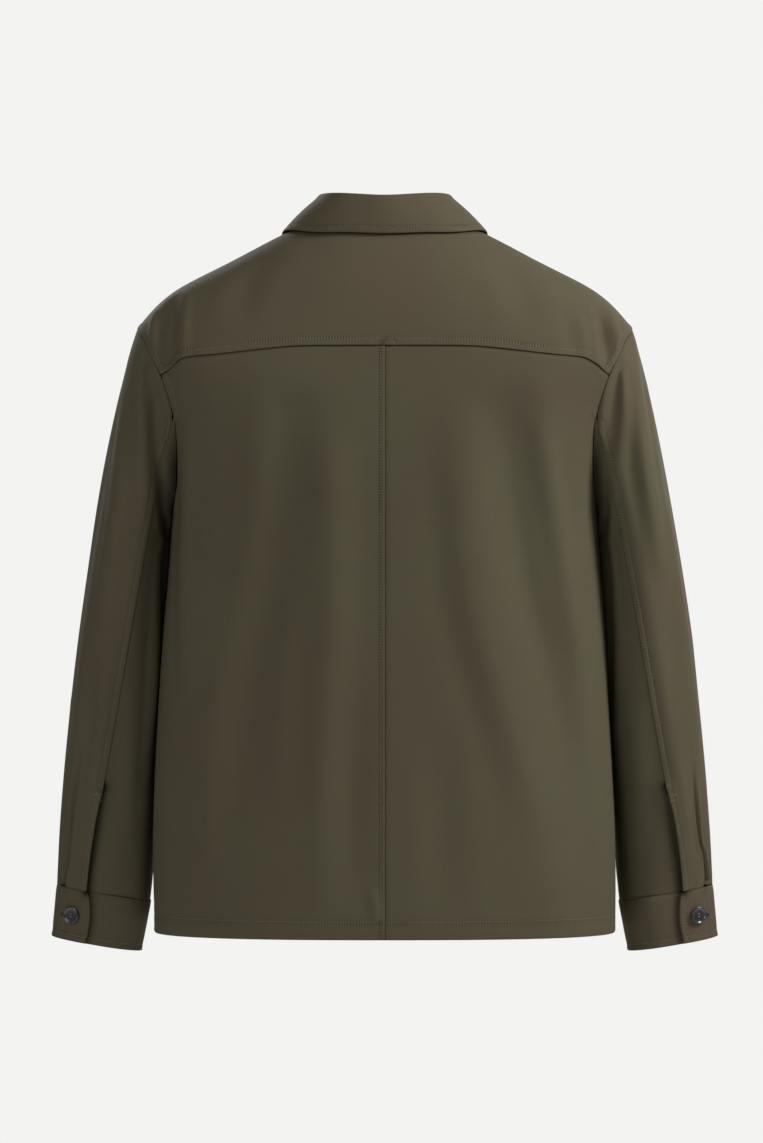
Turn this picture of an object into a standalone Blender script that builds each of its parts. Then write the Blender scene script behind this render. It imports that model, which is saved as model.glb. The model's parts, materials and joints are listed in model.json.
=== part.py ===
"""Overshirt, filled out on a general figure with nobody in it, one closed solid for each cut piece.

Frame: metres, +Z up. The garment's front faces -Y and its back faces +Y, so +X is the wearer's
left. The origin is the middle of the neck, at the height of the collar's lower edge behind.
Every piece is a wall of cloth: a grid of points on the garment's outer face, and the same grid
moved in by the cloth's thickness. Neighbouring pieces share the points of their seam, and each
is trimmed back from it by half of the seam gap.
"""
import math

import bmesh
import bpy
import numpy as np
from mathutils import Vector
from mathutils.kdtree import KDTree

# ------------------------------------------------------------------ driving sizes, in metres
CLOTH = 0.0016                  # one layer of the body and sleeve cloth
COLLAR_CLOTH = 0.0021           # two layers and an interlining
CUFF_CLOTH = 0.0024
SEAM_GAP = 0.0003
LAYER_GAP = 0.0006              # between two walls that lie on each other

HEM_LEVEL = -0.708
UNDERARM_LEVEL = -0.285
FRONT_OVERLAP = 0.020           # each front runs this far past the centre line
UNDERLAP_EASE = 0.030           # over this width the lower layer eases in under the upper one
LAP_MARGIN = 0.002              # and this far before the upper one's edge it is in place
TOP_MARGIN = 0.0005             # the front's rows stay this far below the shoulder line
LAP_DROP = 0.0036               # how far the lower layer of a lap lies under the upper one's face

NECK_HALF_WIDTH = 0.0715
NECK_BACK = 0.066
NECK_MIDDLE = -0.006
NECK_FRONT = -0.076
NECK_SEAM_CORNER = 108.4        # degrees round the neck, from behind, where the shoulder seam meets it

FOLD_FADE = 0.045               # a fold dies out over this length at its ends
MITRE_LIMIT = 38                # degrees that a wall's edge may lean to meet its neighbour
CREVICE = 0.5                   # walls whose faces meet with a smaller cosine than this are parted
SAME_POINT = 0.0004             # points of two pieces nearer than this are one place on a seam
FOLD_BEND = 1.3                 # how much a soft fold curves on its way down
FOLD_DEPTH = 0.07               # folds die out where the body's half depth is less than this
COLUMN_CROWD = 2.2              # how much the columns crowd towards the armhole
YOKE_NECK_SHARE = 0.36          # the share of the yoke's upper edge that lies along the neck

# ------------------------------------------------------------------ how finely each piece is cut
BODY_ROWS = 9                   # from the hem to the underarm
BACK_COLUMNS = 14
YOKE_NECK_COLUMNS = 7
SHOULDER_COLUMNS = BACK_COLUMNS - YOKE_NECK_COLUMNS
FRONT_NECK_COLUMNS = 7
CAP_ROWS = 5
CUFF_COLUMNS = 34
DENSE = 160                     # points on a curve before it is evenly cut

# Level rings of the body: half of its width, how far its back and front stand from the side
# seams' plane, and how square the ring is (2 is an ellipse).
BODY_RINGS = {
    "level":        [-0.708, -0.640, -0.560, -0.470, -0.400, -0.342, -0.300, -0.285, -0.260, -0.220,
                     -0.184, -0.165, -0.145, -0.125, 0.050],
    "half_width":   [0.2350, 0.2355, 0.2325, 0.2280, 0.2248, 0.2208, 0.2175, 0.2168, 0.2168, 0.2225,
                     0.2315, 0.2400, 0.2520, 0.2620, 0.2650],
    "back_depth":   [0.118, 0.117, 0.116, 0.115, 0.115, 0.116, 0.117, 0.117, 0.118, 0.118,
                     0.117, 0.116, 0.115, 0.114, 0.112],
    "front_depth":  [0.116, 0.117, 0.118, 0.119, 0.120, 0.121, 0.121, 0.121, 0.120, 0.118,
                     0.116, 0.115, 0.113, 0.112, 0.110],
    "squareness":   [2.50, 2.50, 2.50, 2.50, 2.50, 2.50, 2.55, 2.60, 2.70, 2.85,
                     3.00, 3.10, 3.30, 3.50, 3.50],
}

# The top line of the shoulders, from the middle of the neck to the sleeve head.
SHOULDER_LINE = {
    "reach":  [0.000, 0.040, 0.0715, 0.111, 0.155, 0.200, 0.213, 0.227, 0.2375, 0.2525, 0.262],
    "height": [0.030, 0.027, 0.0175, 0.0000, -0.0232, -0.0448, -0.0515, -0.0625, -0.0725, -0.0920, -0.108],
}

# How the back (side +1) and the front (side -1) round over to the shoulder line: from this level
# up, with this power.
ROUNDING = {+1: {"from_level": -0.170, "power": 2.2}, -1: {"from_level": -0.220, "power": 1.8}}

# The armhole seam, round from the shoulder tip: behind to the underarm, and in front.
ARMHOLE_BACK = {
    "turn":   [0, 20, 38, 57, 75, 96, 116, 137, 158, 180],
    "reach":  [0.2525, 0.2490, 0.2425, 0.2325, 0.2244, 0.2176, 0.2118, 0.2095, 0.2110, 0.2170],
    "level":  [-0.0920, -0.1000, -0.1075, -0.1300, -0.1442, -0.1641, -0.1840, -0.2180, -0.2560, -0.2850],
}
ARMHOLE_FRONT = {
    "turn":   [0, 20, 40, 60, 80, 100, 120, 140, 160, 180],
    "reach":  [0.2525, 0.2480, 0.2395, 0.2290, 0.2205, 0.2145, 0.2108, 0.2105, 0.2125, 0.2170],
    "level":  [-0.0920, -0.1010, -0.1160, -0.1370, -0.1610, -0.1870, -0.2160, -0.2440, -0.2690, -0.2850],
}
YOKE_TURN = 75                  # where the yoke seam meets the armhole behind
SHOULDER_SEAM_TURN = -30        # where the shoulder seam meets it in front
ELBOW_TURN = 116                # where the sleeve's back seam meets it
INNER_TURN = 210                # where the sleeve's inner seam meets it, in front of the underarm
STEADY_TURN = 41                # as far as this a sleeve's columns run straight down

# Where the seam samples lie on the armhole, shared by the yoke, back, fronts and sleeves.
TURNS_YOKE = [-30, -19, -9, 0, 10, 20, 27, 33, 41, 57, 75]
TURNS_BACK = [75, 89, 102, 116, 130, 143, 155, 164, 172, 180]
TURNS_FRONT = [180, 195, 210, 226, 242, 258, 273, 288, 302, 316, 330]

# The yoke seam across the back, half of it.
YOKE_SEAM = {
    "reach":  [0.000, 0.0784, 0.1442, 0.1774, 0.2007, 0.2090, 0.2194, 0.2244],
    "level":  [-0.1157, -0.1159, -0.1216, -0.1250, -0.1262, -0.1300, -0.1412, -0.1442],
}

# Rings of the sleeve below the armhole: level of the middle, reach of the outer and inner edges,
# how far the middle is in front of the side seams, half of the depth, how many degrees the ring
# leans, and the turn at which the back seam lies.
SLEEVE_RINGS = {
    "level":      [-0.320, -0.370, -0.434, -0.500, -0.560, -0.615, -0.648, -0.6615, -0.6705],
    "outer":      [0.3000, 0.3085, 0.3175, 0.3250, 0.3308, 0.3345, 0.3362, 0.3370, 0.3378],
    "inner":      [0.2212, 0.2238, 0.2262, 0.2292, 0.2325, 0.2355, 0.2376, 0.2392, 0.2403],
    "forward":    [0.022, 0.026, 0.031, 0.036, 0.040, 0.043, 0.045, 0.045, 0.045],
    "half_depth": [0.080, 0.077, 0.071, 0.065, 0.058, 0.050, 0.043, 0.0395, 0.0385],
    "lean":       [2.0, 3.0, 4.0, 5.0, 6.5, 8.0, 9.0, 9.5, 9.5],
    "back_seam":  [118, 110, 101, 93, 86, 79, 74, 73, 73],
}
SLEEVE_LEVELS = [-0.320, -0.362, -0.408, -0.454, -0.500, -0.538, -0.560, -0.568, -0.576, -0.611,
                 -0.642, -0.6595, -0.6705]
SLEEVE_SQUARENESS = 2.1
UNDERARM_CLEARANCE = 0.003      # how far the sleeve stands off the body just below the armhole
CAP_ROUNDNESS = 0.10            # how much the sleeve head swells out below the armhole
CAP_BACK = 0.55                 # the share of that swell that goes to the back and front
CAP_NARROW = 0.62               # how slowly it dies out round the armhole
CUFF_RINGS = {
    "level":      [-0.6707, -0.7237],
    "outer":      [0.3384, 0.3434],
    "inner":      [0.2397, 0.2500],
    "forward":    [0.045, 0.047],
    "half_depth": [0.0391, 0.0365],
    "lean":       [9.5, 9.5],
}
CUFF_END = {"share": [0.0, 0.5, 1.0], "turn": [75, 83, 79]}     # the pointed, buttoned end
CUFF_UNDERLAP = 42              # degrees that the under end runs on beneath it
CUFF_EASE = 34                  # degrees over which that end dips in

VENT_DIP_LEVEL = -0.564         # below this the under sleeve's edge dips in
VENT_TOP = -0.572               # and below this it runs on under the top sleeve
VENT_DROP = 0.0030              # how far the under sleeve's face lies below the top sleeve's there
VENT_TURNS = {"lapped": [92, 112, 133], "drop_share": [1.0, 1.0, 0.35]}     # its first columns there
PLEAT = {"turn": 30, "top": -0.535, "grows_over": 0.09, "half_width": 9.0, "depth": 0.0042,
         "ridge": 0.35, "ridge_aside": 1.3}

# Soft folds. side +1 is behind and -1 in front; height is out of the cloth, or into it when
# negative; spread is half of the fold's width.
BODY_FOLDS = [
    {"side": +1, "top": (0.095, -0.190), "foot": (0.142, -0.560), "spread": 0.024, "height": -0.0045},
    {"side": +1, "top": (0.052, -0.230), "foot": (0.062, -0.640), "spread": 0.020, "height": 0.0025},
    {"side": +1, "top": (0.188, -0.150), "foot": (0.196, -0.520), "spread": 0.018, "height": 0.0030},
    {"side": +1, "top": (-0.121, -0.200), "foot": (-0.209, -0.660), "spread": 0.022, "height": -0.0050},
    {"side": +1, "top": (-0.074, -0.200), "foot": (-0.170, -0.680), "spread": 0.021, "height": 0.0030},
    {"side": +1, "top": (-0.158, -0.170), "foot": (-0.222, -0.560), "spread": 0.018, "height": 0.0035},
    {"side": -1, "top": (0.105, -0.200), "foot": (0.150, -0.640), "spread": 0.026, "height": -0.0045},
    {"side": -1, "top": (0.160, -0.190), "foot": (0.196, -0.580), "spread": 0.020, "height": 0.0030},
    {"side": -1, "top": (-0.098, -0.180), "foot": (-0.128, -0.600), "spread": 0.024, "height": -0.0040},
    {"side": -1, "top": (-0.155, -0.220), "foot": (-0.202, -0.660), "spread": 0.021, "height": 0.0032},
]
SLEEVE_FOLDS = {
    +1: [
        {"turn": (60, 52), "level": (-0.20, -0.52), "spread": 15, "height": 0.0035},
        {"turn": (88, 74), "level": (-0.22, -0.50), "spread": 12, "height": -0.0035},
        {"turn": (-70, -58), "level": (-0.24, -0.60), "spread": 16, "height": -0.0040},
        {"turn": (12, 8), "level": (-0.13, -0.30), "spread": 9, "height": 0.0025},
    ],
    -1: [
        {"turn": (46, 40), "level": (-0.15, -0.50), "spread": 15, "height": 0.0045},
        {"turn": (78, 70), "level": (-0.16, -0.46), "spread": 13, "height": -0.0050},
        {"turn": (-64, -72), "level": (-0.20, -0.56), "spread": 17, "height": -0.0040},
        {"turn": (14, 16), "level": (-0.20, -0.42), "spread": 10, "height": 0.0025},
    ],
}

# Collar. Round the neck from behind: where the top of the stand lies, and the leaf's lower edge.
STAND_TOP = {
    "turn":   [0, 45, 90, 130, 165, 194],
    "reach":  [0.0, 0.0470, 0.0662, 0.0520, 0.0180, -0.0170],
    "back":   [0.0620, 0.0455, -0.0040, -0.0470, -0.0690, -0.0695],
    "height": [0.0342, 0.0382, 0.0400, 0.0200, -0.0080, -0.0170],
}
LEAF_EDGE = {
    "share":  [0.0, 0.22, 0.42, 0.52, 0.66, 0.82, 1.0],
    "reach":  [0.0, 0.0662, 0.1005, 0.1075, 0.1025, 0.0860, 0.0600],
    "back":   [0.0725, 0.0620, 0.0245, -0.0040, -0.0370, -0.0640, -0.0840],
}
LEAF_REST = 0.0037              # the leaf's outer face over the cloth it lies on
LEAF_ROLL = 0.0034              # radius of the fold at the top
LEAF_SWELL = 0.0015
LEAF_END_TURN = 174             # degrees round the neck where the leaf's front edge starts, at most
NEAR_TURN = 4                   # the way along the stand is read this many degrees to each side
LEAF_ROWS = 5

BUTTON_RADIUS = 0.0088
BUTTON_THICK = 0.0032
BUTTON_RIM = 0.0020
BUTTON_DISH = 0.0009
BUTTON_SIDES = 14
FRONT_BUTTON_TOP = -0.098
FRONT_BUTTON_STEP = 0.094
FRONT_BUTTONS = 6
CUFF_BUTTON_TURN = 56

CLOTH_COLOUR = (0.080, 0.069, 0.046, 1.0)
BUTTON_COLOUR = (0.018, 0.021, 0.028, 1.0)


# ------------------------------------------------------------------ small helpers
def smooth_value(table, key, column, at):
    """Read a table between its rows on a curve that never swings past them."""
    xs = np.asarray(table[key], dtype=float)
    ys = np.asarray(table[column], dtype=float)
    at = np.clip(np.asarray(at, dtype=float), xs[0], xs[-1])
    steps = np.diff(xs)
    slopes = np.diff(ys) / steps
    tangents = np.zeros_like(ys)
    both = slopes[:-1] * slopes[1:] > 0
    tangents[1:-1][both] = 2.0 * slopes[:-1][both] * slopes[1:][both] / (slopes[:-1] + slopes[1:])[both]
    tangents[0] = slopes[0]
    tangents[-1] = slopes[-1]
    row = np.clip(np.searchsorted(xs, at, side="right") - 1, 0, len(steps) - 1)
    step = steps[row]
    t = (at - xs[row]) / step
    rise = t * t * (3.0 - 2.0 * t)
    return (ys[row] * (1.0 - rise) + ys[row + 1] * rise
            + tangents[row] * step * t * (1.0 - t) ** 2
            - tangents[row + 1] * step * t * t * (1.0 - t))


def ease(value):
    """0 to 1 with a soft start and a soft end."""
    value = np.clip(value, 0.0, 1.0)
    return value * value * (3.0 - 2.0 * value)


def cut_evenly(points, shares):
    """Points at the given shares of a dense curve's length."""
    lengths = np.linalg.norm(np.diff(points, axis=0), axis=1)
    along = np.concatenate([[0.0], np.cumsum(lengths)])
    wanted = np.asarray(shares) * along[-1]
    return np.stack([np.interp(wanted, along, points[:, axis]) for axis in range(3)], axis=1)


def curve_length(points):
    return float(np.linalg.norm(np.diff(points, axis=0), axis=1).sum())


def mirrored(grid, hand):
    """The wearer's left is hand +1; the right is its mirror image."""
    out = np.array(grid, dtype=float)
    out[..., 0] *= hand
    return out


# ------------------------------------------------------------------ the body's surface
def body_fold(x, level, side):
    """How far the soft folds lift the body's cloth at a place, for real x, on one side."""
    lift = np.zeros(np.broadcast(x, level).shape)
    for fold in BODY_FOLDS:
        if fold["side"] != side:
            continue
        (top_x, top_level), (foot_x, foot_level) = fold["top"], fold["foot"]
        share = (top_level - level) / (top_level - foot_level)
        line = top_x + (foot_x - top_x) * np.clip(share, 0.0, 1.0) ** FOLD_BEND
        fade = ease((top_level - level) / FOLD_FADE + 1.0) * ease((level - foot_level) / FOLD_FADE + 1.0)
        lift = lift + fold["height"] * fade * np.exp(-((x - line) / fold["spread"]) ** 2)
    return lift


def rounding_share(reach, level, side):
    """1 where the wall stands upright, down to 0 on the shoulder line."""
    rule = ROUNDING[side]
    height = smooth_value(SHOULDER_LINE, "reach", "height", reach)
    climb = np.clip((level - rule["from_level"]) / (height - rule["from_level"]), 0.0, 1.0)
    return (1.0 - climb ** rule["power"]) ** (1.0 / rule["power"])


def plan_depth(reach, level, side):
    """Depth of the level ring at a reach from the middle."""
    half_width = smooth_value(BODY_RINGS, "level", "half_width", level)
    depth = smooth_value(BODY_RINGS, "level", "back_depth" if side > 0 else "front_depth", level)
    power = smooth_value(BODY_RINGS, "level", "squareness", level)
    share = np.clip(np.abs(reach) / half_width, 0.0, 1.0)
    return depth * (1.0 - share ** power) ** (1.0 / power)


def body_point(x, level, side, hand=1):
    """A point of the body at x on the hand's side of the middle, at a level, behind or in front."""
    x = np.asarray(x, dtype=float)
    level = np.broadcast_to(np.asarray(level, dtype=float), x.shape)
    depth = plan_depth(np.abs(x), level, side) * rounding_share(np.abs(x), level, side)
    depth = depth + body_fold(x * hand, level, side) * np.clip(depth / FOLD_DEPTH, 0.0, 1.0) ** 2
    return np.stack([x, side * depth, level], axis=-1)


def over_shoulder(x, turn, hand=1):
    """A point over the shoulder: turn 0 is upright behind, 90 the shoulder line, 180 upright in front."""
    x = np.asarray(x, dtype=float)
    turn = np.broadcast_to(np.asarray(turn, dtype=float), x.shape)
    height = smooth_value(SHOULDER_LINE, "reach", "height", np.abs(x))
    points = np.zeros(x.shape + (3,))
    for side in (+1, -1):
        rule = ROUNDING[side]
        angle = np.radians(turn if side > 0 else 180.0 - turn)
        climb = np.clip(np.sin(np.clip(angle, 0.0, math.pi / 2.0)), 0.0, 1.0) ** (2.0 / rule["power"])
        level = rule["from_level"] + (height - rule["from_level"]) * climb
        here = (turn <= 90.0) if side > 0 else (turn > 90.0)
        points[here] = body_point(x, level, side, hand)[here]
    return points


def turn_over_shoulder(reach, level, side):
    """The turn that over_shoulder needs for a place given by its level."""
    rule = ROUNDING[side]
    height = smooth_value(SHOULDER_LINE, "reach", "height", reach)
    climb = np.clip((level - rule["from_level"]) / (height - rule["from_level"]), 0.0, 1.0)
    angle = np.degrees(np.arcsin(climb ** (rule["power"] / 2.0)))
    return np.where(side > 0, angle, 180.0 - angle)


def top_level(reach, back):
    """The level of the cloth over a place seen from above; back is its y."""
    side = 1 if back >= 0 else -1
    rule = ROUNDING[side]
    height = float(smooth_value(SHOULDER_LINE, "reach", "height", reach))
    level = height
    for _ in range(8):
        share = min(1.0, abs(back) / float(plan_depth(reach, level, side)))
        climb = (1.0 - share ** rule["power"]) ** (1.0 / rule["power"])
        level = rule["from_level"] + (height - rule["from_level"]) * climb
    return level


def rest_level(reach, back, rest):
    """The level of a face that lies at a distance over the cloth, for a place seen from above."""
    step = 0.002
    here = top_level(reach, back)
    aside = (top_level(reach + step, back) - here) / step
    behind = (top_level(reach, back + step) - here) / step
    return here + rest * math.sqrt(1.0 + aside ** 2 + behind ** 2)


def armhole_place(turn):
    """Reach, level and side of the armhole seam at a turn from the shoulder tip."""
    turn = turn - 360 if turn > 180 else turn
    table = ARMHOLE_BACK if turn >= 0 else ARMHOLE_FRONT
    reach = float(smooth_value(table, "turn", "reach", abs(turn)))
    level = float(smooth_value(table, "turn", "level", abs(turn)))
    return reach, level, (1 if turn >= 0 else -1)


def armhole_point(turn, hand):
    reach, level, side = armhole_place(turn)
    return body_point(np.array([reach]), level, side, hand)[0]


def yoke_level(reach):
    return smooth_value(YOKE_SEAM, "reach", "level", reach)


def neck_plan(turn):
    """Plan of the neck seam, round from behind."""
    angle = math.radians(turn)
    length = NECK_BACK - NECK_MIDDLE if math.cos(angle) > 0 else NECK_MIDDLE - NECK_FRONT
    return NECK_HALF_WIDTH * math.sin(angle), NECK_MIDDLE + length * math.cos(angle)


def neck_turn_over(turn):
    """Reach and over-shoulder turn of a place on the neck seam."""
    reach, back = neck_plan(turn)
    side = 1 if back >= 0 else -1
    return reach, float(turn_over_shoulder(abs(reach), top_level(abs(reach), back), side))


FRONT_EDGE_TURN = 180 + math.degrees(math.asin(FRONT_OVERLAP / NECK_HALF_WIDTH))


# ------------------------------------------------------------------ grids of the body's pieces
def even(count):
    return np.linspace(0.0, 1.0, count + 1)


def ring_row(level, side, start, hand):
    """Dense points of one level row, from the middle (or the front edge) to the side seam."""
    half_width = float(smooth_value(BODY_RINGS, "level", "half_width", level))
    power = float(smooth_value(BODY_RINGS, "level", "squareness", level))
    from_angle = math.acos(math.copysign(abs(start / half_width) ** (power / 2.0), start))
    angles = np.linspace(from_angle, 0.0, DENSE)
    x = half_width * np.sign(np.cos(angles)) * np.abs(np.cos(angles)) ** (2.0 / power)
    x[0] = start
    return body_point(x, level, side, hand)


def back_grid(hand):
    """Half of the back, from the hem to the yoke seam."""
    rows = [cut_evenly(ring_row(level, 1, 0.0, hand), even(BACK_COLUMNS))
            for level in np.linspace(HEM_LEVEL, UNDERARM_LEVEL, BODY_ROWS + 1)]
    turns = TURNS_BACK[::-1][1:]
    middle_top = float(yoke_level(0.0))
    for index, turn in enumerate(turns, start=1):
        share = index / len(turns)
        reach, level, _ = armhole_place(turn)
        middle = UNDERARM_LEVEL + (middle_top - UNDERARM_LEVEL) * share
        x = reach * (1.0 - (1.0 - np.linspace(0.0, 1.0, DENSE)) ** COLUMN_CROWD)
        seam_shape = (yoke_level(x) - middle_top) / (float(yoke_level(reach)) - middle_top)
        shape = (1.0 - share ** 3) * (x / reach) ** 2 + share ** 3 * seam_shape
        row_levels = middle + (level - middle) * shape
        rows.append(cut_evenly(body_point(x, row_levels, 1, hand), even(BACK_COLUMNS)))
    return mirrored(rows, hand)


def blend_patch(bottom, top, left, right, across, up):
    """A place inside four edges, each a function of a share that gives (x, turn)."""
    corner = {name: np.array(value) for name, value in {
        "bl": bottom(0.0), "br": bottom(1.0), "tl": top(0.0), "tr": top(1.0)}.items()}
    return ((1 - up) * np.array(bottom(across)) + up * np.array(top(across))
            + (1 - across) * np.array(left(up)) + across * np.array(right(up))
            - (1 - across) * (1 - up) * corner["bl"] - across * (1 - up) * corner["br"]
            - (1 - across) * up * corner["tl"] - across * up * corner["tr"])


def shoulder_seam_place(share):
    """The shoulder seam, from the neck to the armhole, as (reach, turn over the shoulder)."""
    start = np.array(neck_turn_over(NECK_SEAM_CORNER))
    reach, level, side = armhole_place(SHOULDER_SEAM_TURN)
    end = np.array([reach, float(turn_over_shoulder(reach, level, side))])
    return start + (end - start) * share


def dense_seam(place, hand, count=DENSE):
    """Dense points of a seam that is given as a function of a share."""
    places = np.array([place(share) for share in np.linspace(0.0, 1.0, count)])
    return over_shoulder(places[:, 0], places[:, 1], hand)


def corner_shares(neck_length, shoulder_length, neck_columns):
    """Shares of a top edge that has a corner between the neck and the shoulder seam."""
    corner = neck_length / (neck_length + shoulder_length)
    neck = np.linspace(0.0, corner, neck_columns + 1)
    shoulder = np.linspace(corner, 1.0, SHOULDER_COLUMNS + 1)
    return np.concatenate([neck, shoulder[1:]])


def yoke_half(hand):
    """Half of the yoke, from the yoke seam over the shoulder to the shoulder seam in front."""
    seam_end = YOKE_SEAM["reach"][-1]
    neck_share = YOKE_NECK_SHARE

    def bottom(share):
        reach = seam_end * (1.0 - (1.0 - share) ** 1.3)
        return reach, float(turn_over_shoulder(reach, float(yoke_level(reach)), 1))

    def top(share):
        if share <= neck_share:
            return neck_turn_over(NECK_SEAM_CORNER * share / neck_share)
        return tuple(shoulder_seam_place((share - neck_share) / (1.0 - neck_share)))

    def left(share):
        first, last = bottom(0.0)[1], top(0.0)[1]
        return 0.0, first + (last - first) * share

    def right(share):
        turn = YOKE_TURN + (SHOULDER_SEAM_TURN - YOKE_TURN) * share
        reach, level, side = armhole_place(turn)
        return reach, float(turn_over_shoulder(reach, level, side))

    neck = dense_seam(lambda share: neck_turn_over(NECK_SEAM_CORNER * share), hand)
    shoulder = dense_seam(shoulder_seam_place, hand)
    top_shares = corner_shares(curve_length(neck), curve_length(shoulder), YOKE_NECK_COLUMNS)
    rows = []
    for turn in TURNS_YOKE[::-1]:
        share = (turn - YOKE_TURN) / (SHOULDER_SEAM_TURN - YOKE_TURN)
        if share == 1.0:
            dense = np.concatenate([neck, shoulder[1:]])
        elif share == 0.0:
            x = seam_end * (1.0 - (1.0 - np.linspace(0.0, 1.0, DENSE)) ** COLUMN_CROWD)
            dense = body_point(x, yoke_level(x), 1, hand)
        else:
            places = np.array([blend_patch(bottom, top, left, right, across, share)
                               for across in np.linspace(0.0, 1.0, DENSE)])
            dense = over_shoulder(places[:, 0], places[:, 1], hand)
        shares = (1.0 - share) * even(BACK_COLUMNS) + share * top_shares
        rows.append(cut_evenly(dense, shares))
    return mirrored(rows, hand)


def yoke_grid():
    """The whole yoke: the right half, then the left one, sharing the middle column."""
    left, right = yoke_half(+1), yoke_half(-1)
    return np.concatenate([right[:, ::-1], left[:, 1:]], axis=1)


def front_grid(hand):
    """One front, from its edge past the centre line to the side seam and the armhole."""
    columns = FRONT_NECK_COLUMNS + SHOULDER_COLUMNS
    edge = -FRONT_OVERLAP
    rows = [cut_evenly(ring_row(level, -1, edge, hand), even(columns))
            for level in np.linspace(HEM_LEVEL, UNDERARM_LEVEL, BODY_ROWS + 1)]

    def neck_place(share):
        turn = FRONT_EDGE_TURN + (NECK_SEAM_CORNER - FRONT_EDGE_TURN) * share
        return neck_turn_over(turn)

    neck = dense_seam(neck_place, hand)
    shoulder = dense_seam(shoulder_seam_place, hand)
    top_edge = np.concatenate([neck, shoulder[1:]])
    top_shares = corner_shares(curve_length(neck), curve_length(shoulder), FRONT_NECK_COLUMNS)
    top_cut = cut_evenly(top_edge, np.linspace(0.0, 1.0, DENSE))
    base_cut = cut_evenly(ring_row(UNDERARM_LEVEL, -1, edge, hand), np.linspace(0.0, 1.0, DENSE))
    across = np.linspace(0.0, 1.0, DENSE)
    turns = TURNS_FRONT[1:]
    for index, turn in enumerate(turns, start=1):
        share = index / len(turns)
        if index == len(turns):
            rows.append(cut_evenly(top_edge, top_shares))
            continue
        reach, level, _ = armhole_place(turn)
        edge_level = base_cut[0, 2] + (top_cut[0, 2] - base_cut[0, 2]) * share
        x = (1 - share) * base_cut[:, 0] + share * top_cut[:, 0]
        levels = (1 - share) * base_cut[:, 2] + share * top_cut[:, 2]
        x = x + across * (reach - x[-1])
        levels = levels + (1 - across) * (edge_level - levels[0]) + across * (level - levels[-1])
        highest = smooth_value(SHOULDER_LINE, "reach", "height", np.abs(x)) - TOP_MARGIN
        levels = np.minimum(levels, highest)
        dense = body_point(x, levels, -1, hand)
        rows.append(cut_evenly(dense, (1 - share) * even(columns) + share * top_shares))
    return mirrored(rows, hand)


def lap_under(piece, columns):
    """Ease the right edge of a piece, as far as a column, in under the left one that laps over it."""
    grid, out, stretch = piece["grid"], piece["out"], piece["stretch"]
    past = (FRONT_OVERLAP + LAP_MARGIN + UNDERLAP_EASE + grid[..., 0]) / UNDERLAP_EASE
    lapped = (grid[..., 1] < NECK_MIDDLE) & (np.arange(grid.shape[1]) < columns)
    drop = ease(past) * LAP_DROP * lapped * stretch
    piece["grid"] = grid - out * drop[..., None]


# ------------------------------------------------------------------ sleeves and cuffs
def ring_point(table, level, turn, extra=0.0, squareness=SLEEVE_SQUARENESS):
    """A point of a sleeve or cuff ring: turn 0 is outermost, 90 behind, 180 against the body."""
    outer = float(smooth_value(table, "level_up", "outer", -level))
    inner = float(smooth_value(table, "level_up", "inner", -level))
    forward = float(smooth_value(table, "level_up", "forward", -level))
    depth = float(smooth_value(table, "level_up", "half_depth", -level)) + extra
    lean = math.radians(float(smooth_value(table, "level_up", "lean", -level)))
    half = (outer - inner) / 2.0 + extra
    middle = (outer + inner) / 2.0
    angle = math.radians(turn)
    across = half * math.copysign(abs(math.cos(angle)) ** (2.0 / squareness), math.cos(angle))
    back = depth * math.copysign(abs(math.sin(angle)) ** (2.0 / squareness), math.sin(angle))
    return np.array([middle + across, back - forward, level + across * math.tan(lean)])


def ring_middle(table, level):
    outer = float(smooth_value(table, "level_up", "outer", -level))
    inner = float(smooth_value(table, "level_up", "inner", -level))
    forward = float(smooth_value(table, "level_up", "forward", -level))
    return np.array([(outer + inner) / 2.0, -forward, level])


def ring_axis(table, hand):
    """The way along the sleeve, square to its last ring."""
    lean = math.tan(math.radians(table["lean"][-1]))
    return np.array([-hand * lean, 0.0, 1.0])


for rings in (SLEEVE_RINGS, CUFF_RINGS):
    rings["level_up"] = [-level for level in rings["level"]]


def sleeve_fold(turn, level, hand):
    """How far the soft folds and the pleat lift the sleeve's cloth."""
    lift = 0.0
    for fold in SLEEVE_FOLDS[hand]:
        (top_turn, foot_turn), (top, foot) = fold["turn"], fold["level"]
        share = min(1.0, max(0.0, (top - level) / (top - foot)))
        line = top_turn + (foot_turn - top_turn) * share
        fade = float(ease((top - level) / FOLD_FADE + 0.5) * ease((level - foot) / FOLD_FADE + 1.0))
        lift += fold["height"] * fade * math.exp(-((turn - line) / fold["spread"]) ** 2)
    if level < PLEAT["top"]:
        grown = float(ease((PLEAT["top"] - level) / PLEAT["grows_over"]))
        aside = (turn - PLEAT["turn"]) / PLEAT["half_width"]
        ridge = PLEAT["ridge"] * math.exp(-(aside - PLEAT["ridge_aside"]) ** 2)
        lift += grown * PLEAT["depth"] * (ridge - math.exp(-aside ** 2))
    return lift


def ring_turn(turn, level):
    """The turn on a lower ring that carries on a column of the armhole."""
    seam = float(smooth_value(SLEEVE_RINGS, "level_up", "back_seam", -level))
    if turn > ELBOW_TURN:
        return seam + (INNER_TURN - seam) * (turn - ELBOW_TURN) / (INNER_TURN - ELBOW_TURN)
    if turn > STEADY_TURN:
        return STEADY_TURN + (seam - STEADY_TURN) * (turn - STEADY_TURN) / (ELBOW_TURN - STEADY_TURN)
    return turn


def sleeve_point(turn, level, hand):
    """A point of the sleeve below the armhole, with its folds."""
    place = ring_point(SLEEVE_RINGS, level, ring_turn(turn, level))
    out = place - ring_middle(SLEEVE_RINGS, level)
    out[2] = 0.0
    out /= np.linalg.norm(out)
    signed = turn - 360 if turn > 180 else turn
    return place + out * sleeve_fold(signed, level, hand)


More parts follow.
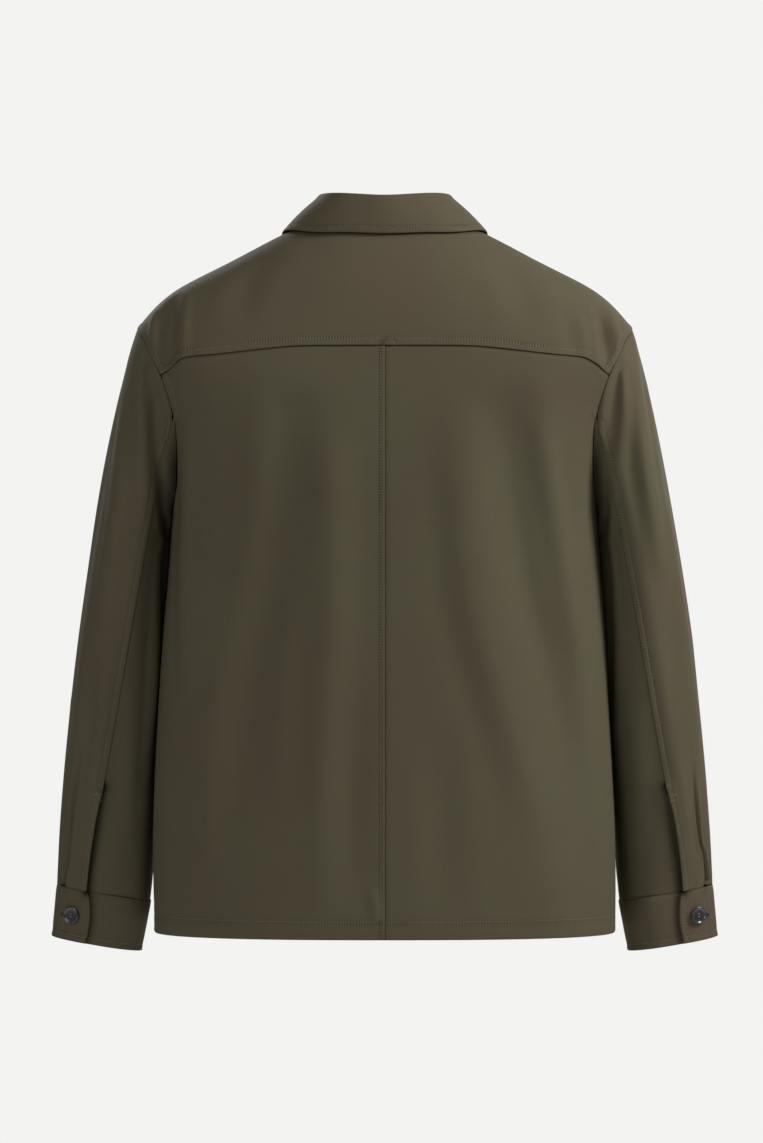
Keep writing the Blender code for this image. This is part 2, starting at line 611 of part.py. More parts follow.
def sleeve_column(turn, hand):
    """One column of the sleeve, from the armhole seam to the cuff seam."""
    start = armhole_point(turn, hand)
    first = sleeve_point(turn, SLEEVE_LEVELS[0], hand)
    second = sleeve_point(turn, SLEEVE_LEVELS[0] - 0.02, hand)
    run = np.linalg.norm(first - start)
    end_way = (second - first) / np.linalg.norm(second - first)
    straight = (first - start) / run
    outward = np.array([math.cos(math.radians(turn)), CAP_BACK * math.sin(math.radians(turn)), 0.0])
    start_way = straight + outward * CAP_ROUNDNESS * max(0.0, math.cos(math.radians(turn * CAP_NARROW)))
    start_way /= np.linalg.norm(start_way)
    points = []
    toward_body = max(0.0, -math.cos(math.radians(turn)))
    for row in range(CAP_ROWS):
        t = row / CAP_ROWS
        points.append((2 * t ** 3 - 3 * t ** 2 + 1) * start + (t ** 3 - 2 * t ** 2 + t) * run * start_way
                      + (3 * t ** 2 - 2 * t ** 3) * first + (t ** 3 - t ** 2) * run * end_way)
        points[-1][0] += UNDERARM_CLEARANCE * toward_body * math.sin(math.pi * t) ** 0.5
    points += [sleeve_point(turn, level, hand) for level in SLEEVE_LEVELS]
    return points


def sleeve_grid(turns, hand):
    """Rows from the armhole to the cuff, columns round the arm."""
    columns = [sleeve_column(turn, hand) for turn in turns]
    return mirrored(np.transpose(np.array(columns), (1, 0, 2)), hand)


def open_vent(piece, hand):
    """Run the under sleeve's edge on beneath the top sleeve's, from the vent's top to the cuff."""
    grid, out = piece["grid"], piece["out"]
    opened = np.array(grid)
    for row in range(CAP_ROWS, grid.shape[0]):
        level = SLEEVE_LEVELS[row - CAP_ROWS]
        if level > VENT_DIP_LEVEL:
            continue
        for column, (turn, share) in enumerate(zip(VENT_TURNS["lapped"], VENT_TURNS["drop_share"])):
            if level < VENT_TOP:
                opened[row, column] = mirrored(sleeve_point(turn, level, hand), hand)
            opened[row, column] -= out[row, column] * VENT_DROP * share
    piece["grid"] = opened


def cuff_grid(hand):
    """The cuff as one strip: from its pointed end round the wrist and in under that end."""
    rows = []
    for share in CUFF_END["share"]:
        level = CUFF_RINGS["level"][0] + (CUFF_RINGS["level"][-1] - CUFF_RINGS["level"][0]) * share
        start = float(smooth_value(CUFF_END, "share", "turn", share))
        row = []
        for column in range(CUFF_COLUMNS + 1):
            end = CUFF_END["turn"][0] - 360 - CUFF_UNDERLAP
            turn = start + (end - start) * column / CUFF_COLUMNS
            under = float(ease((CUFF_END["turn"][1] - 360 + CUFF_EASE - turn) / CUFF_EASE))
            row.append(ring_point(CUFF_RINGS, level, turn, -under * (CUFF_CLOTH + LAYER_GAP)))
        rows.append(row)
    return mirrored(rows, hand)


# ------------------------------------------------------------------ collar
def neck_seam_row():
    """The neck seam, from the right front's edge round behind to the left front's edge."""
    half = {}
    for hand in (+1, -1):
        back = dense_seam(lambda share: neck_turn_over(NECK_SEAM_CORNER * share), hand)
        front = dense_seam(lambda share: neck_turn_over(
            FRONT_EDGE_TURN + (NECK_SEAM_CORNER - FRONT_EDGE_TURN) * share), hand)
        behind = cut_evenly(back, even(YOKE_NECK_COLUMNS))
        before = cut_evenly(front, even(FRONT_NECK_COLUMNS))[::-1]
        half[hand] = mirrored(np.concatenate([behind, before[1:]]), hand)
    return np.concatenate([half[-1][::-1], half[+1][1:]])


def plan_turn(point):
    """Turn of a place round the neck, from behind."""
    return math.degrees(math.atan2(abs(point[0]), point[1] - NECK_MIDDLE))


def stand_turns():
    """Turns of the neck seam's points on one side, from behind to the front edge."""
    middle = YOKE_NECK_COLUMNS + FRONT_NECK_COLUMNS
    turns = [plan_turn(point) for point in neck_seam_row()[middle:]]
    for index in range(1, len(turns)):
        if turns[index] < turns[index - 1]:
            turns[index] = 360 - turns[index]
    return turns


def stand_top_point(turn, hand):
    reach, back, height = [float(smooth_value(STAND_TOP, "turn", name, turn))
                           for name in ("reach", "back", "height")]
    return np.array([hand * reach, back, height])


def stand_grid():
    """The stand, from the neck seam up. Its right end lies under its left end."""
    base = neck_seam_row()
    turns = stand_turns()
    top = [stand_top_point(turn, -1) for turn in turns[::-1]]
    top = np.array(top + [stand_top_point(turn, +1) for turn in turns[1:]])
    return np.array([base, base * 0.5 + top * 0.5, top])


def leaf_grid():
    """The leaf, rolled over the top of the stand and lying on the yoke and fronts."""
    columns = []
    turns = [turn for turn in stand_turns() if turn <= LEAF_END_TURN]
    signed = [(-1, turn) for turn in turns[::-1]] + [(+1, turn) for turn in turns[1:]]
    for hand, turn in signed:
        share = turn / turns[-1]
        start = stand_top_point(turn, hand)
        before = stand_top_point(max(turn - NEAR_TURN, 0), hand)
        after = stand_top_point(turn + NEAR_TURN, hand)
        out = np.array([hand * (before[1] - after[1]), hand * (after[0] - before[0]), 0.0])
        if turn == 0:
            out = np.array([0.0, 1.0, 0.0])
        out /= np.linalg.norm(out)
        reach = float(smooth_value(LEAF_EDGE, "share", "reach", share))
        back = float(smooth_value(LEAF_EDGE, "share", "back", share))
        end = np.array([hand * reach, back, rest_level(reach, back, LEAF_REST)])
        column = []
        for angle in (180, 120, 60):
            lift = LEAF_ROLL * math.sin(math.radians(angle)) + SEAM_GAP * 2.0
            aside = LEAF_ROLL * (1.0 + math.cos(math.radians(angle))) - COLLAR_CLOTH
            column.append(start + out * aside + np.array([0.0, 0.0, lift]))
        shoulder = start + out * (LEAF_ROLL * 2.0 - COLLAR_CLOTH)
        for row in range(LEAF_ROWS + 1):
            t = row / LEAF_ROWS
            point = shoulder + (end - shoulder) * t
            point = point + (out * 0.6 + np.array([0.0, 0.0, 0.8])) * LEAF_SWELL * math.sin(math.pi * t)
            point[2] = max(point[2], rest_level(abs(point[0]), point[1], LEAF_REST))
            column.append(point)
        columns.append(column)
    return np.transpose(np.array(columns), (1, 0, 2))


# ------------------------------------------------------------------ walls
def torso_inside(point):
    return np.array([0.0, 0.0, min(point[2], -0.12)])


def neck_inside(point):
    return np.array([0.0, NECK_MIDDLE, point[2] - 0.02])


def sleeve_inside(hand):
    def inside(point):
        level = min(SLEEVE_LEVELS[0], max(point[2], SLEEVE_LEVELS[-1]))
        middle = ring_middle(SLEEVE_RINGS, level)
        return np.array([hand * middle[0], middle[1], min(point[2], -0.16)])
    return inside


def face_directions(grid, inside):
    """Unit directions out of the cloth at each point of a grid, from the faces round it."""
    faces = np.cross(grid[1:, 1:] - grid[:-1, :-1], grid[1:, :-1] - grid[:-1, 1:])
    faces /= np.linalg.norm(faces, axis=2, keepdims=True) + 1e-12
    normals = np.zeros_like(grid)
    normals[:-1, :-1] += faces
    normals[1:, :-1] += faces
    normals[:-1, 1:] += faces
    normals[1:, 1:] += faces
    normals /= np.linalg.norm(normals, axis=2, keepdims=True) + 1e-12
    outward = np.array([[point - inside(point) for point in row] for row in grid])
    if np.sum(normals * outward) < 0:
        normals = -normals
    return normals


def edge_places(shape):
    rows, columns = shape[:2]
    return [(r, c) for r in range(rows) for c in range(columns)
            if r in (0, rows - 1) or c in (0, columns - 1)]


def way_in(grid, row, column):
    """The way over a piece from a point of its edge to the next points inside."""
    rows, columns = grid.shape[:2]
    inner_row = min(max(row, 1), rows - 2)
    inner_column = min(max(column, 1), columns - 2)
    way = grid[inner_row, inner_column] - grid[row, column]
    return way / np.linalg.norm(way)


def share_seam_directions(pieces):
    """Lean the walls that meet at a seam to one direction, or part them where they fold to a crevice."""
    entries = []
    for name, piece in pieces.items():
        piece["stretch"] = np.ones(piece["grid"].shape[:2])
        for row, column in edge_places(piece["grid"].shape):
            entries.append((name, row, column, piece["grid"][row, column], piece["out"][row, column],
                            way_in(piece["grid"], row, column)))
    tree = KDTree(len(entries))
    for index, entry in enumerate(entries):
        tree.insert(Vector(entry[3]), index)
    tree.balance()
    updates = []
    for name, row, column, point, own, way in entries:
        near = [entries[index] for _, index, _ in tree.find_range(Vector(point), SAME_POINT)]
        crevice = any(np.dot(own, entry[4]) < CREVICE and np.dot(way, entry[4]) > 0.0 for entry in near)
        part = SEAM_GAP if crevice else 0.0
        alike = [entry[4] for entry in near if np.dot(own, entry[4]) >= CREVICE]
        mean = sum(alike, np.zeros(3)) / len(alike)
        aside = mean - own * float(np.dot(mean, own))
        if np.linalg.norm(aside) < 1e-6:
            updates.append((name, row, column, own, 1.0, part))
            continue
        tilt = math.acos(min(1.0, float(np.dot(mean, own)) / np.linalg.norm(mean)))
        tilt = min(tilt, math.radians(MITRE_LIMIT))
        direction = own * math.cos(tilt) + aside / np.linalg.norm(aside) * math.sin(tilt)
        updates.append((name, row, column, direction, 1.0 / math.cos(tilt), part))
    for name, row, column, direction, stretch, part in updates:
        pieces[name]["out"][row, column] = direction
        pieces[name]["stretch"][row, column] = stretch
        pieces[name]["grid"][row, column] -= direction * part


def square_ends(piece, rows, normal):
    """Turn the wall directions of some rows into the plane of a ring, so that their ends are flat."""
    normal = np.array(normal) / np.linalg.norm(normal)
    for row in rows:
        flat = piece["out"][row] - np.outer(piece["out"][row] @ normal, normal)
        piece["out"][row] = flat / np.linalg.norm(flat, axis=1, keepdims=True)
        piece["stretch"][row] = 1.0


def trimmed(grid):
    """Pull the four edges back by half of the seam gap."""
    out = np.array(grid)
    half = SEAM_GAP / 2.0
    for edge, inner in ((0, 1), (-1, -2)):
        way = grid[inner] - grid[edge]
        out[edge] += way / np.linalg.norm(way, axis=1, keepdims=True) * half
        way = grid[:, inner] - grid[:, edge]
        out[:, edge] += way / np.linalg.norm(way, axis=1, keepdims=True) * half
    return out


def make_material(name, colour, roughness):
    material = bpy.data.materials.new(name)
    material.use_nodes = True
    shader = material.node_tree.nodes["Principled BSDF"]
    shader.inputs["Base Color"].default_value = colour
    shader.inputs["Roughness"].default_value = roughness
    shader.inputs["Metallic"].default_value = 0.0
    return material


def add_object(name, mesh_builder, colour, roughness=0.8):
    """Turn the faces that a builder makes into one smooth object with its own material."""
    mesh = bpy.data.meshes.new(name)
    build = bmesh.new()
    mesh_builder(build)
    bmesh.ops.recalc_face_normals(build, faces=build.faces)
    build.to_mesh(mesh)
    build.free()
    mesh.shade_smooth()
    mesh.set_sharp_from_angle(angle=math.radians(40))
    mesh.materials.append(make_material(name + "_finish", colour, roughness))
    placed = bpy.data.objects.new(name, mesh)
    bpy.context.scene.collection.objects.link(placed)
    return placed


def add_wall(name, piece):
    """One closed wall of cloth from a piece's grid."""
    outer = trimmed(piece["grid"])
    inner = outer - piece["out"] * (piece["thick"] * piece["stretch"])[..., None]
    rows, columns = outer.shape[:2]

    def build_faces(build):
        front = [[build.verts.new(outer[r, c]) for c in range(columns)] for r in range(rows)]
        behind = [[build.verts.new(inner[r, c]) for c in range(columns)] for r in range(rows)]
        for r in range(rows - 1):
            for c in range(columns - 1):
                build.faces.new((front[r][c], front[r][c + 1], front[r + 1][c + 1], front[r + 1][c]))
                build.faces.new((behind[r][c], behind[r + 1][c], behind[r + 1][c + 1], behind[r][c + 1]))
        for c in range(columns - 1):
            for r in (0, rows - 1):
                build.faces.new((front[r][c], front[r][c + 1], behind[r][c + 1], behind[r][c]))
        for r in range(rows - 1):
            for c in (0, columns - 1):
                build.faces.new((front[r][c], front[r + 1][c], behind[r + 1][c], behind[r][c]))

    return add_object(name, build_faces, CLOTH_COLOUR)


def add_button(name, centre, out):
    """A round button with a raised rim, lying on the cloth and facing out."""
    profile = [(0.0, 0.0), (BUTTON_RADIUS * 0.86, 0.0), (BUTTON_RADIUS, BUTTON_THICK * 0.4),
               (BUTTON_RADIUS * 0.93, BUTTON_THICK), (BUTTON_RADIUS - BUTTON_RIM, BUTTON_THICK * 0.92),
               (BUTTON_RADIUS * 0.62, BUTTON_THICK - BUTTON_DISH), (0.0, BUTTON_THICK - BUTTON_DISH)]
    turn = Vector(out).to_track_quat("Z", "Y").to_matrix()
    base = Vector(centre) + Vector(out) * (SEAM_GAP * 2.0)

    def build_faces(build):
        rings = []
        for radius, height in profile:
            if radius == 0.0:
                rings.append([build.verts.new(base + turn @ Vector((0.0, 0.0, height)))] * BUTTON_SIDES)
                continue
            ring = []
            for side in range(BUTTON_SIDES):
                angle = 2.0 * math.pi * side / BUTTON_SIDES
                spot = Vector((radius * math.cos(angle), radius * math.sin(angle), height))
                ring.append(build.verts.new(base + turn @ spot))
            rings.append(ring)
        for lower, upper in zip(rings[:-1], rings[1:]):
            for side in range(BUTTON_SIDES):
                following = (side + 1) % BUTTON_SIDES
                corners = (lower[side], lower[following], upper[following], upper[side])
                build.faces.new(list(dict.fromkeys(corners)))

    return add_object(name, build_faces, BUTTON_COLOUR, 0.3)


# ------------------------------------------------------------------ the whole garment
def start_empty():
    for thing in list(bpy.data.objects):
        bpy.data.objects.remove(thing, do_unlink=True)


def cloth_piece(grid, inside, thick=CLOTH):
    return {"grid": grid, "out": face_directions(grid, inside), "thick": thick,
            "stretch": np.ones(grid.shape[:2])}


def build_pieces():
    pieces = {"yoke": cloth_piece(yoke_grid(), torso_inside)}
    for hand, word in ((+1, "left"), (-1, "right")):
        pieces["back_" + word] = cloth_piece(back_grid(hand), torso_inside)
        pieces["front_" + word] = cloth_piece(front_grid(hand), torso_inside)
        top_turns = [t - 360 for t in TURNS_FRONT if t >= INNER_TURN] + TURNS_YOKE[1:]
        top_turns += [t for t in TURNS_BACK[1:] if t <= ELBOW_TURN]
        under_turns = [t for t in TURNS_BACK if t >= ELBOW_TURN] + [t for t in TURNS_FRONT[1:] if t <= INNER_TURN]
        inside = sleeve_inside(hand)
        pieces["sleeve_top_" + word] = cloth_piece(sleeve_grid(top_turns, hand), inside)
        pieces["sleeve_under_" + word] = cloth_piece(sleeve_grid(under_turns, hand), inside)
    pieces["collar_stand"] = cloth_piece(stand_grid(), neck_inside, COLLAR_CLOTH)
    share_seam_directions(pieces)
    lap_under(pieces["front_right"], FRONT_NECK_COLUMNS + SHOULDER_COLUMNS)
    lap_under(pieces["collar_stand"], FRONT_NECK_COLUMNS + YOKE_NECK_COLUMNS)
    for hand, word in ((+1, "left"), (-1, "right")):
        for name in ("back_", "front_"):
            square_ends(pieces[name + word], [0], (0.0, 0.0, 1.0))
        for name in ("sleeve_top_", "sleeve_under_"):
            square_ends(pieces[name + word], [-1, -2], ring_axis(SLEEVE_RINGS, hand))
        open_vent(pieces["sleeve_under_" + word], hand)
    for hand, word in ((+1, "left"), (-1, "right")):
        cuff = cloth_piece(cuff_grid(hand), sleeve_inside(hand), CUFF_CLOTH)
        square_ends(cuff, [0, 1, 2], ring_axis(CUFF_RINGS, hand))
        pieces["cuff_" + word] = cuff
    pieces["collar_leaf"] = cloth_piece(leaf_grid(), neck_inside, COLLAR_CLOTH)
    for name, row in (("collar_leaf", 0), ("collar_stand", -1)):
        square_ends(pieces[name], [row], (0.0, 0.0, 1.0))
    return pieces


def front_place(level, hand=+1):
    """A place on the middle of the closed front, and the way out of the cloth there."""
    middle, above, aside = [body_point(np.array([x]), level + rise, -1, hand)[0]
                            for x, rise in ((0.0, 0.0), (0.0, 0.004), (0.004, 0.0))]
    out = np.cross(above - middle, middle - aside)
    out /= np.linalg.norm(out)
    return middle, out if out[1] < 0 else -out


def cuff_place(hand):
    """The button's place on the cuff, and the way out of the cloth there."""
    level = (CUFF_RINGS["level"][0] + CUFF_RINGS["level"][-1]) / 2.0
    middle = ring_point(CUFF_RINGS, level, CUFF_BUTTON_TURN)
    along = ring_point(CUFF_RINGS, level, CUFF_BUTTON_TURN + 3) - middle
    lower = ring_point(CUFF_RINGS, level - 0.01, CUFF_BUTTON_TURN) - middle
    out = np.cross(along, lower)
    out /= np.linalg.norm(out)
    if np.dot(out, middle - ring_middle(CUFF_RINGS, level)) < 0:
        out = -out
    return mirrored(middle, hand), mirrored(out, hand)


def collar_place(stand):
    """The collar button's place on the stand's left end, and the way out there."""
    column = stand["grid"].shape[1] - 3
    return stand["grid"][1, column], stand["out"][1, column]


def main():
    start_empty()
    pieces = build_pieces()
    for name, piece in pieces.items():
        add_wall(name, piece)
    for number in range(1, FRONT_BUTTONS + 1):
        centre, out = front_place(FRONT_BUTTON_TOP - FRONT_BUTTON_STEP * (number - 1))
        add_button("front_button_%d" % number, centre, out)
    centre, out = collar_place(pieces["collar_stand"])
    add_button("collar_button", centre, out)
    for hand, word in ((+1, "left"), (-1, "right")):
        centre, out = cuff_place(hand)
        add_button("cuff_button_" + word, centre, out)


main()
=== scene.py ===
# %% [markdown]
# # A button-front overshirt, filled out and seen from behind
#
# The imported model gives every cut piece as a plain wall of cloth, in metres, with +Z up. The
# garment's front faces -Y and its back +Y, and +X is the wearer's left. This lesson dresses that
# model: each wall is copied, smoothed and creased, then come the seams' raised edges, the top
# stitching, the twill, the buttons and the buttonholes, and at last the floor and the lights.

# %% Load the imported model
import json
import math

import bpy
import numpy as np
from mathutils import Matrix, Vector
from mathutils.bvhtree import BVHTree
from mathutils.kdtree import KDTree

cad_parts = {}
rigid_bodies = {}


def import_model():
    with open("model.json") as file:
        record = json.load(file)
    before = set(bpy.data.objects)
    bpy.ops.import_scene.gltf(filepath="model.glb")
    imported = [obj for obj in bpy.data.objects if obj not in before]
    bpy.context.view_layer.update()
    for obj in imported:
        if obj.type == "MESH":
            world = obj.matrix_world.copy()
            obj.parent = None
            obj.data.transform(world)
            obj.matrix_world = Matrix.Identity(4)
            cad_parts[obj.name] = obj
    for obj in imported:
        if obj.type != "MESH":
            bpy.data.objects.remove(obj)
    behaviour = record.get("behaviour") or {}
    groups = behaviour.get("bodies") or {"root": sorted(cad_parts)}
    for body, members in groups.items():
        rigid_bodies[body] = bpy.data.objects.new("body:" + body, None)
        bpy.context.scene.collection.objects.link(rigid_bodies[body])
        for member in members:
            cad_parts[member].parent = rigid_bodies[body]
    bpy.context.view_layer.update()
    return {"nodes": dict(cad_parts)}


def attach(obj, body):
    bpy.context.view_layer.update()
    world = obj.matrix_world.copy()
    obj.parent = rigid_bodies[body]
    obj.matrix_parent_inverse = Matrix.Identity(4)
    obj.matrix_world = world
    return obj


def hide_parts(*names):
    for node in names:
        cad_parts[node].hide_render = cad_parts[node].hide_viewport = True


for thing in list(bpy.data.objects):
    bpy.data.objects.remove(thing, do_unlink=True)
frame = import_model()
print("cut pieces and buttons:", sorted(frame["nodes"]))

# %% [markdown]
# ## Where the picture is taken from
#
# The picture is taken from straight behind, at half the garment's height, from about 4.6 m away,
# so there is little perspective. The long side of the image is its height. The camera is made
# first, because folds and bar-tacks are placed by looking along its rays.

# %% Camera
EYE = Vector((0.003366, 4.6, -0.3412))
IMAGE_HEIGHT, METRES_PER_PIXEL = 1143, 0.00102
HALF_HEIGHT = IMAGE_HEIGHT / 2 * METRES_PER_PIXEL       # of what the picture shows at the garment
SENSOR = 36.0

camera_data = bpy.data.cameras.new("studio_camera")
camera_data.sensor_width = SENSOR
camera_data.lens = SENSOR / 2.0 * EYE.y / HALF_HEIGHT
camera = bpy.data.objects.new("studio_camera", camera_data)
camera.location = EYE
camera.rotation_euler = (math.radians(90), 0.0, math.radians(180))
bpy.context.scene.collection.objects.link(camera)
bpy.context.scene.camera = camera
print("lens", round(camera_data.lens, 1), "mm")

# %% [markdown]
# ## Selecting and editing as by hand
#
# Most steps use Blender's own operators, the ones behind the menus. They act on what is selected,
# so each step first selects exactly what it is about.


# %% Helpers for selection and edit mode
def only(*things):
    """Select these objects and nothing else; the first one is active."""
    bpy.ops.object.select_all(action="DESELECT")
    for thing in things:
        thing.select_set(True)
    bpy.context.view_layer.objects.active = things[0]


def begin_edit(thing, mode="VERT"):
    """Open a mesh for editing, with all of it selected."""
    only(thing)
    bpy.ops.object.mode_set(mode="EDIT")
    bpy.ops.mesh.select_mode(type=mode)
    bpy.ops.mesh.select_all(action="SELECT")


def end_edit():
    bpy.ops.object.mode_set(mode="OBJECT")


def edit_chosen(thing, chosen, mode="VERT"):
    """Open a mesh for editing, with only these vertices or faces selected."""
    begin_edit(thing, mode)
    bpy.ops.mesh.select_all(action="DESELECT")
    end_edit()
    elements = thing.data.polygons if mode == "FACE" else thing.data.vertices
    elements.foreach_set("select", chosen)
    bpy.ops.object.mode_set(mode="EDIT")


def apply_modifier(thing, kind, **settings):
    modifier = thing.modifiers.new(kind.lower(), kind)
    for name, value in settings.items():
        setattr(modifier, name, value)
    only(thing)
    bpy.ops.object.modifier_apply(modifier=modifier.name)


def read_values(elements, kind):
    """Three numbers for each vertex or face: its place, its middle or its normal."""
    values = np.zeros(len(elements) * 3)
    elements.foreach_get(kind, values)
    return values.reshape(-1, 3)


def read_points(thing):
    return read_values(thing.data.vertices, "co")


def write_points(thing, points):
    thing.data.vertices.foreach_set("co", np.asarray(points, dtype=float).ravel())
    thing.data.update()


def tree_of(thing):
    return BVHTree.FromObject(thing, bpy.context.evaluated_depsgraph_get())


print("helpers ready")

# %% [markdown]
# ## Which way is out of the cloth
#
# A crease lifts or sinks both faces of a wall together, so it needs one direction for a whole
# neighbourhood and not each face's own normal. For the body that is the normal of a rounded box
# round the chest, for a sleeve the way out from the line through the arm, and for the collar the
# way out from the middle of the neck.

# %% Directions out of the body, the sleeves and the collar
CHEST = {"half_width": 0.23, "half_depth": 0.115, "turns_over_at": -0.17, "height": 0.16}
ARM = {"top": (0.245, -0.004, -0.170), "foot": (0.294, -0.047, -0.700), "past_foot": 1.2}
NECK = (0.0, 0.012, -0.030)
NECK_TURN = (1, 1, 0.3)                 # the collar faces aside more than up or down


def unit(ways):
    return ways / (np.linalg.norm(ways, axis=1, keepdims=True) + 1e-9)


def out_of_body(points):
    """Directions out of the chest for many points."""
    up = np.clip(points[:, 2] - CHEST["turns_over_at"], 0.0, None)
    aside = points[:, 0] / CHEST["half_width"] ** 2 * np.abs(points[:, 0] / CHEST["half_width"])
    back = points[:, 1] / CHEST["half_depth"] ** 2
    return unit(np.stack([aside, back, up / CHEST["height"] ** 2], axis=1))


def out_of_arm(points, hand):
    """Directions out of a sleeve's middle line for many points; hand is +1 on the wearer's left."""
    top = np.array(ARM["top"]) * (hand, 1, 1)
    along = np.array(ARM["foot"]) * (hand, 1, 1) - top
    share = np.clip((points - top) @ along / (along @ along), 0.0, ARM["past_foot"])
    return unit(points - (top + share[:, None] * along))


def ways_out(node, points):
    """Directions out of the cloth of any piece."""
    if node.startswith(("sleeve", "cuff")):
        return out_of_arm(points, 1 if node.endswith("left") else -1)
    if node.startswith("collar"):
        return unit((points - NECK) * NECK_TURN)
    return out_of_body(points)


print("arm line:", ARM["top"], "to", ARM["foot"])

# %% [markdown]
# ## The cloth pieces
#
# A maker cuts thirteen pieces of twill for this garment. Each one is copied from its plain wall.
# The copy's loose triangles are merged and paired to quads, its rim is creased, and a Subdivision
# Surface makes the wall between the rims smooth. The last level is done without the crease, which
# rounds the cut edges as folded cloth is, so a seam shows as a small groove. The plain wall is
# then hidden, and the new one stands for it.

# %% The cut pieces
SIDES = ("left", "right")
PAIRED = ("back", "front", "sleeve_top", "sleeve_under", "cuff")
CLOTH_PIECES = ["yoke"] + [piece + "_" + side for piece in PAIRED for side in SIDES]
CLOTH_PIECES += ["collar_stand", "collar_leaf"]
RIM_ANGLE, LEAF_RIM_ANGLE = 50, 72      # degrees that make an edge a rim
SHORTEST_ROW = 20                       # places in a row that is a rim and no speck
print("cut pieces:", len(CLOTH_PIECES))


# %% Find a piece's outer rim
def rims_of(node, shell, rim_angle):
    """The rim of the outer face, as closed rows of places with the cloth on the left hand."""
    mesh = shell.data
    normals, centres = (read_values(mesh.polygons, kind) for kind in ("normal", "center"))
    beside = {}
    for face in mesh.polygons:
        corners = list(face.vertices)
        for a, b in zip(corners, corners[1:] + corners[:1]):
            beside.setdefault((min(a, b), max(a, b)), []).append((face.index, a, b))
    shared = [sides for sides in beside.values() if len(sides) == 2]
    flat = [[] for _ in mesh.polygons]
    limit = math.cos(math.radians(rim_angle))
    for (one, *_), (other, *_) in shared:
        if normals[one] @ normals[other] > limit:
            flat[one].append(other)
            flat[other].append(one)
    areas = np.array([face.area for face in mesh.polygons])
    facing = np.sum(normals * ways_out(node, centres), axis=1)
    region = np.full(len(areas), -1)
    outer, most = None, 0.0
    for seed in range(len(areas)):
        if region[seed] >= 0:
            continue
        region[seed], members = seed, [seed]
        for face in members:
            for other in flat[face]:
                if region[other] < 0:
                    region[other] = seed
                    members.append(other)
        if (areas[members] * facing[members]).sum() > most:
            outer, most = seed, (areas[members] * facing[members]).sum()
    follow = {}
    for (one, a, b), (other, c, d) in shared:
        if (region[one] == outer) != (region[other] == outer):
            follow.update({a: b} if region[one] == outer else {c: d})
    rows = []
    while follow:
        here = next(iter(follow))
        row = [tuple(mesh.vertices[here].co)]
        while here in follow:
            here = follow.pop(here)
            row.append(tuple(mesh.vertices[here].co))
        if len(row) > SHORTEST_ROW:
            rows.append(np.array(row))
    return rows


# %% Copy, merge and smooth each cut piece
SHARP_TURN = math.cos(math.radians(30))
CORNER_REACH = 0.0019                   # a little more than the cloth is thick
MERGE_WITHIN, PAIR_WITHIN = 0.00001, math.radians(80)


def crease_rim(shell, rim_angle, crease):
    """Crease the edges that turn by more than so many degrees, and no others."""
    begin_edit(shell, "EDGE")
    bpy.ops.transform.edge_crease(value=-1.0)
    bpy.ops.mesh.select_all(action="DESELECT")
    bpy.ops.mesh.edges_select_sharp(sharpness=math.radians(rim_angle))
    bpy.ops.transform.edge_crease(value=crease)
    end_edit()


def keep_corners(shell, rows):
    """Crease the vertices at and behind the rim's sharp corners, so that rounding leaves them."""
    corners = []
    for row in rows:
        ways = unit(np.diff(row, axis=0))
        turns = np.sum(ways * np.roll(ways, 1, axis=0), axis=1)
        corners += [row[i] for i in np.flatnonzero(turns < SHARP_TURN)]
    points = read_points(shell)
    chosen = np.zeros(len(points), dtype=bool)
    for corner in corners:
        chosen |= np.linalg.norm(points - corner, axis=1) < CORNER_REACH
    edit_chosen(shell, chosen)
    bpy.ops.transform.vert_crease(value=1.0)
    end_edit()


def cloth_shell(node):
    """A smooth copy of a cut piece's wall, and its outer rim."""
    rim_angle = LEAF_RIM_ANGLE if node == "collar_leaf" else RIM_ANGLE
    sharp_levels = 1 if node.startswith(("cuff", "collar")) else 2
    only(frame["nodes"][node])
    bpy.ops.object.duplicate()
    shell = bpy.context.active_object
    shell.name = shell.data.name = node + "_cloth"
    for key in list(shell.keys()):
        del shell[key]
    shell.parent = None
    bpy.ops.mesh.customdata_custom_splitnormals_clear()
    begin_edit(shell)
    bpy.ops.mesh.remove_doubles(threshold=MERGE_WITHIN)
    bpy.ops.mesh.tris_convert_to_quads(face_threshold=PAIR_WITHIN, shape_threshold=PAIR_WITHIN)
    end_edit()
    crease_rim(shell, rim_angle, 1.0)
    apply_modifier(shell, "SUBSURF", levels=sharp_levels, render_levels=sharp_levels)
    rows = rims_of(node, shell, rim_angle)
    crease_rim(shell, rim_angle, 0.0)
    keep_corners(shell, rows)
    apply_modifier(shell, "SUBSURF", levels=1, render_levels=1)
    return shell, rows


shells, rims = {}, {}
for node in CLOTH_PIECES:
    shells[node], rims[node] = cloth_shell(node)
print("faces:", sum(len(shell.data.polygons) for shell in shells.values()))
print("rims:", {node: [len(row) for row in rows] for node, rows in rims.items()})

# %% [markdown]
# ## Seams and free edges
#
# Where the rims of two pieces run side by side there is a seam, and elsewhere the edge is free, as
# at the hem. Each rim is cut into such runs, and also at its corners. Stitches and raised edges
# then follow the runs.

# %% Cut the rims into runs
SIDE_BY_SIDE = 0.0013
CORNER = math.cos(math.radians(38))
RIM_STEP, SHORTEST_RUN = 0.001, 0.02


def rim_tree(rows):
    """A tree of places a millimetre apart on a piece's rim."""
    places = [a + (b - a) * t for row in rows for a, b in zip(row[:-1], row[1:])
              for t in np.arange(0.0, 1.0, RIM_STEP / max(np.linalg.norm(b - a), RIM_STEP))]
    tree = KDTree(len(places))
    for index, place in enumerate(places):
        tree.insert(place, index)
    tree.balance()
    return tree


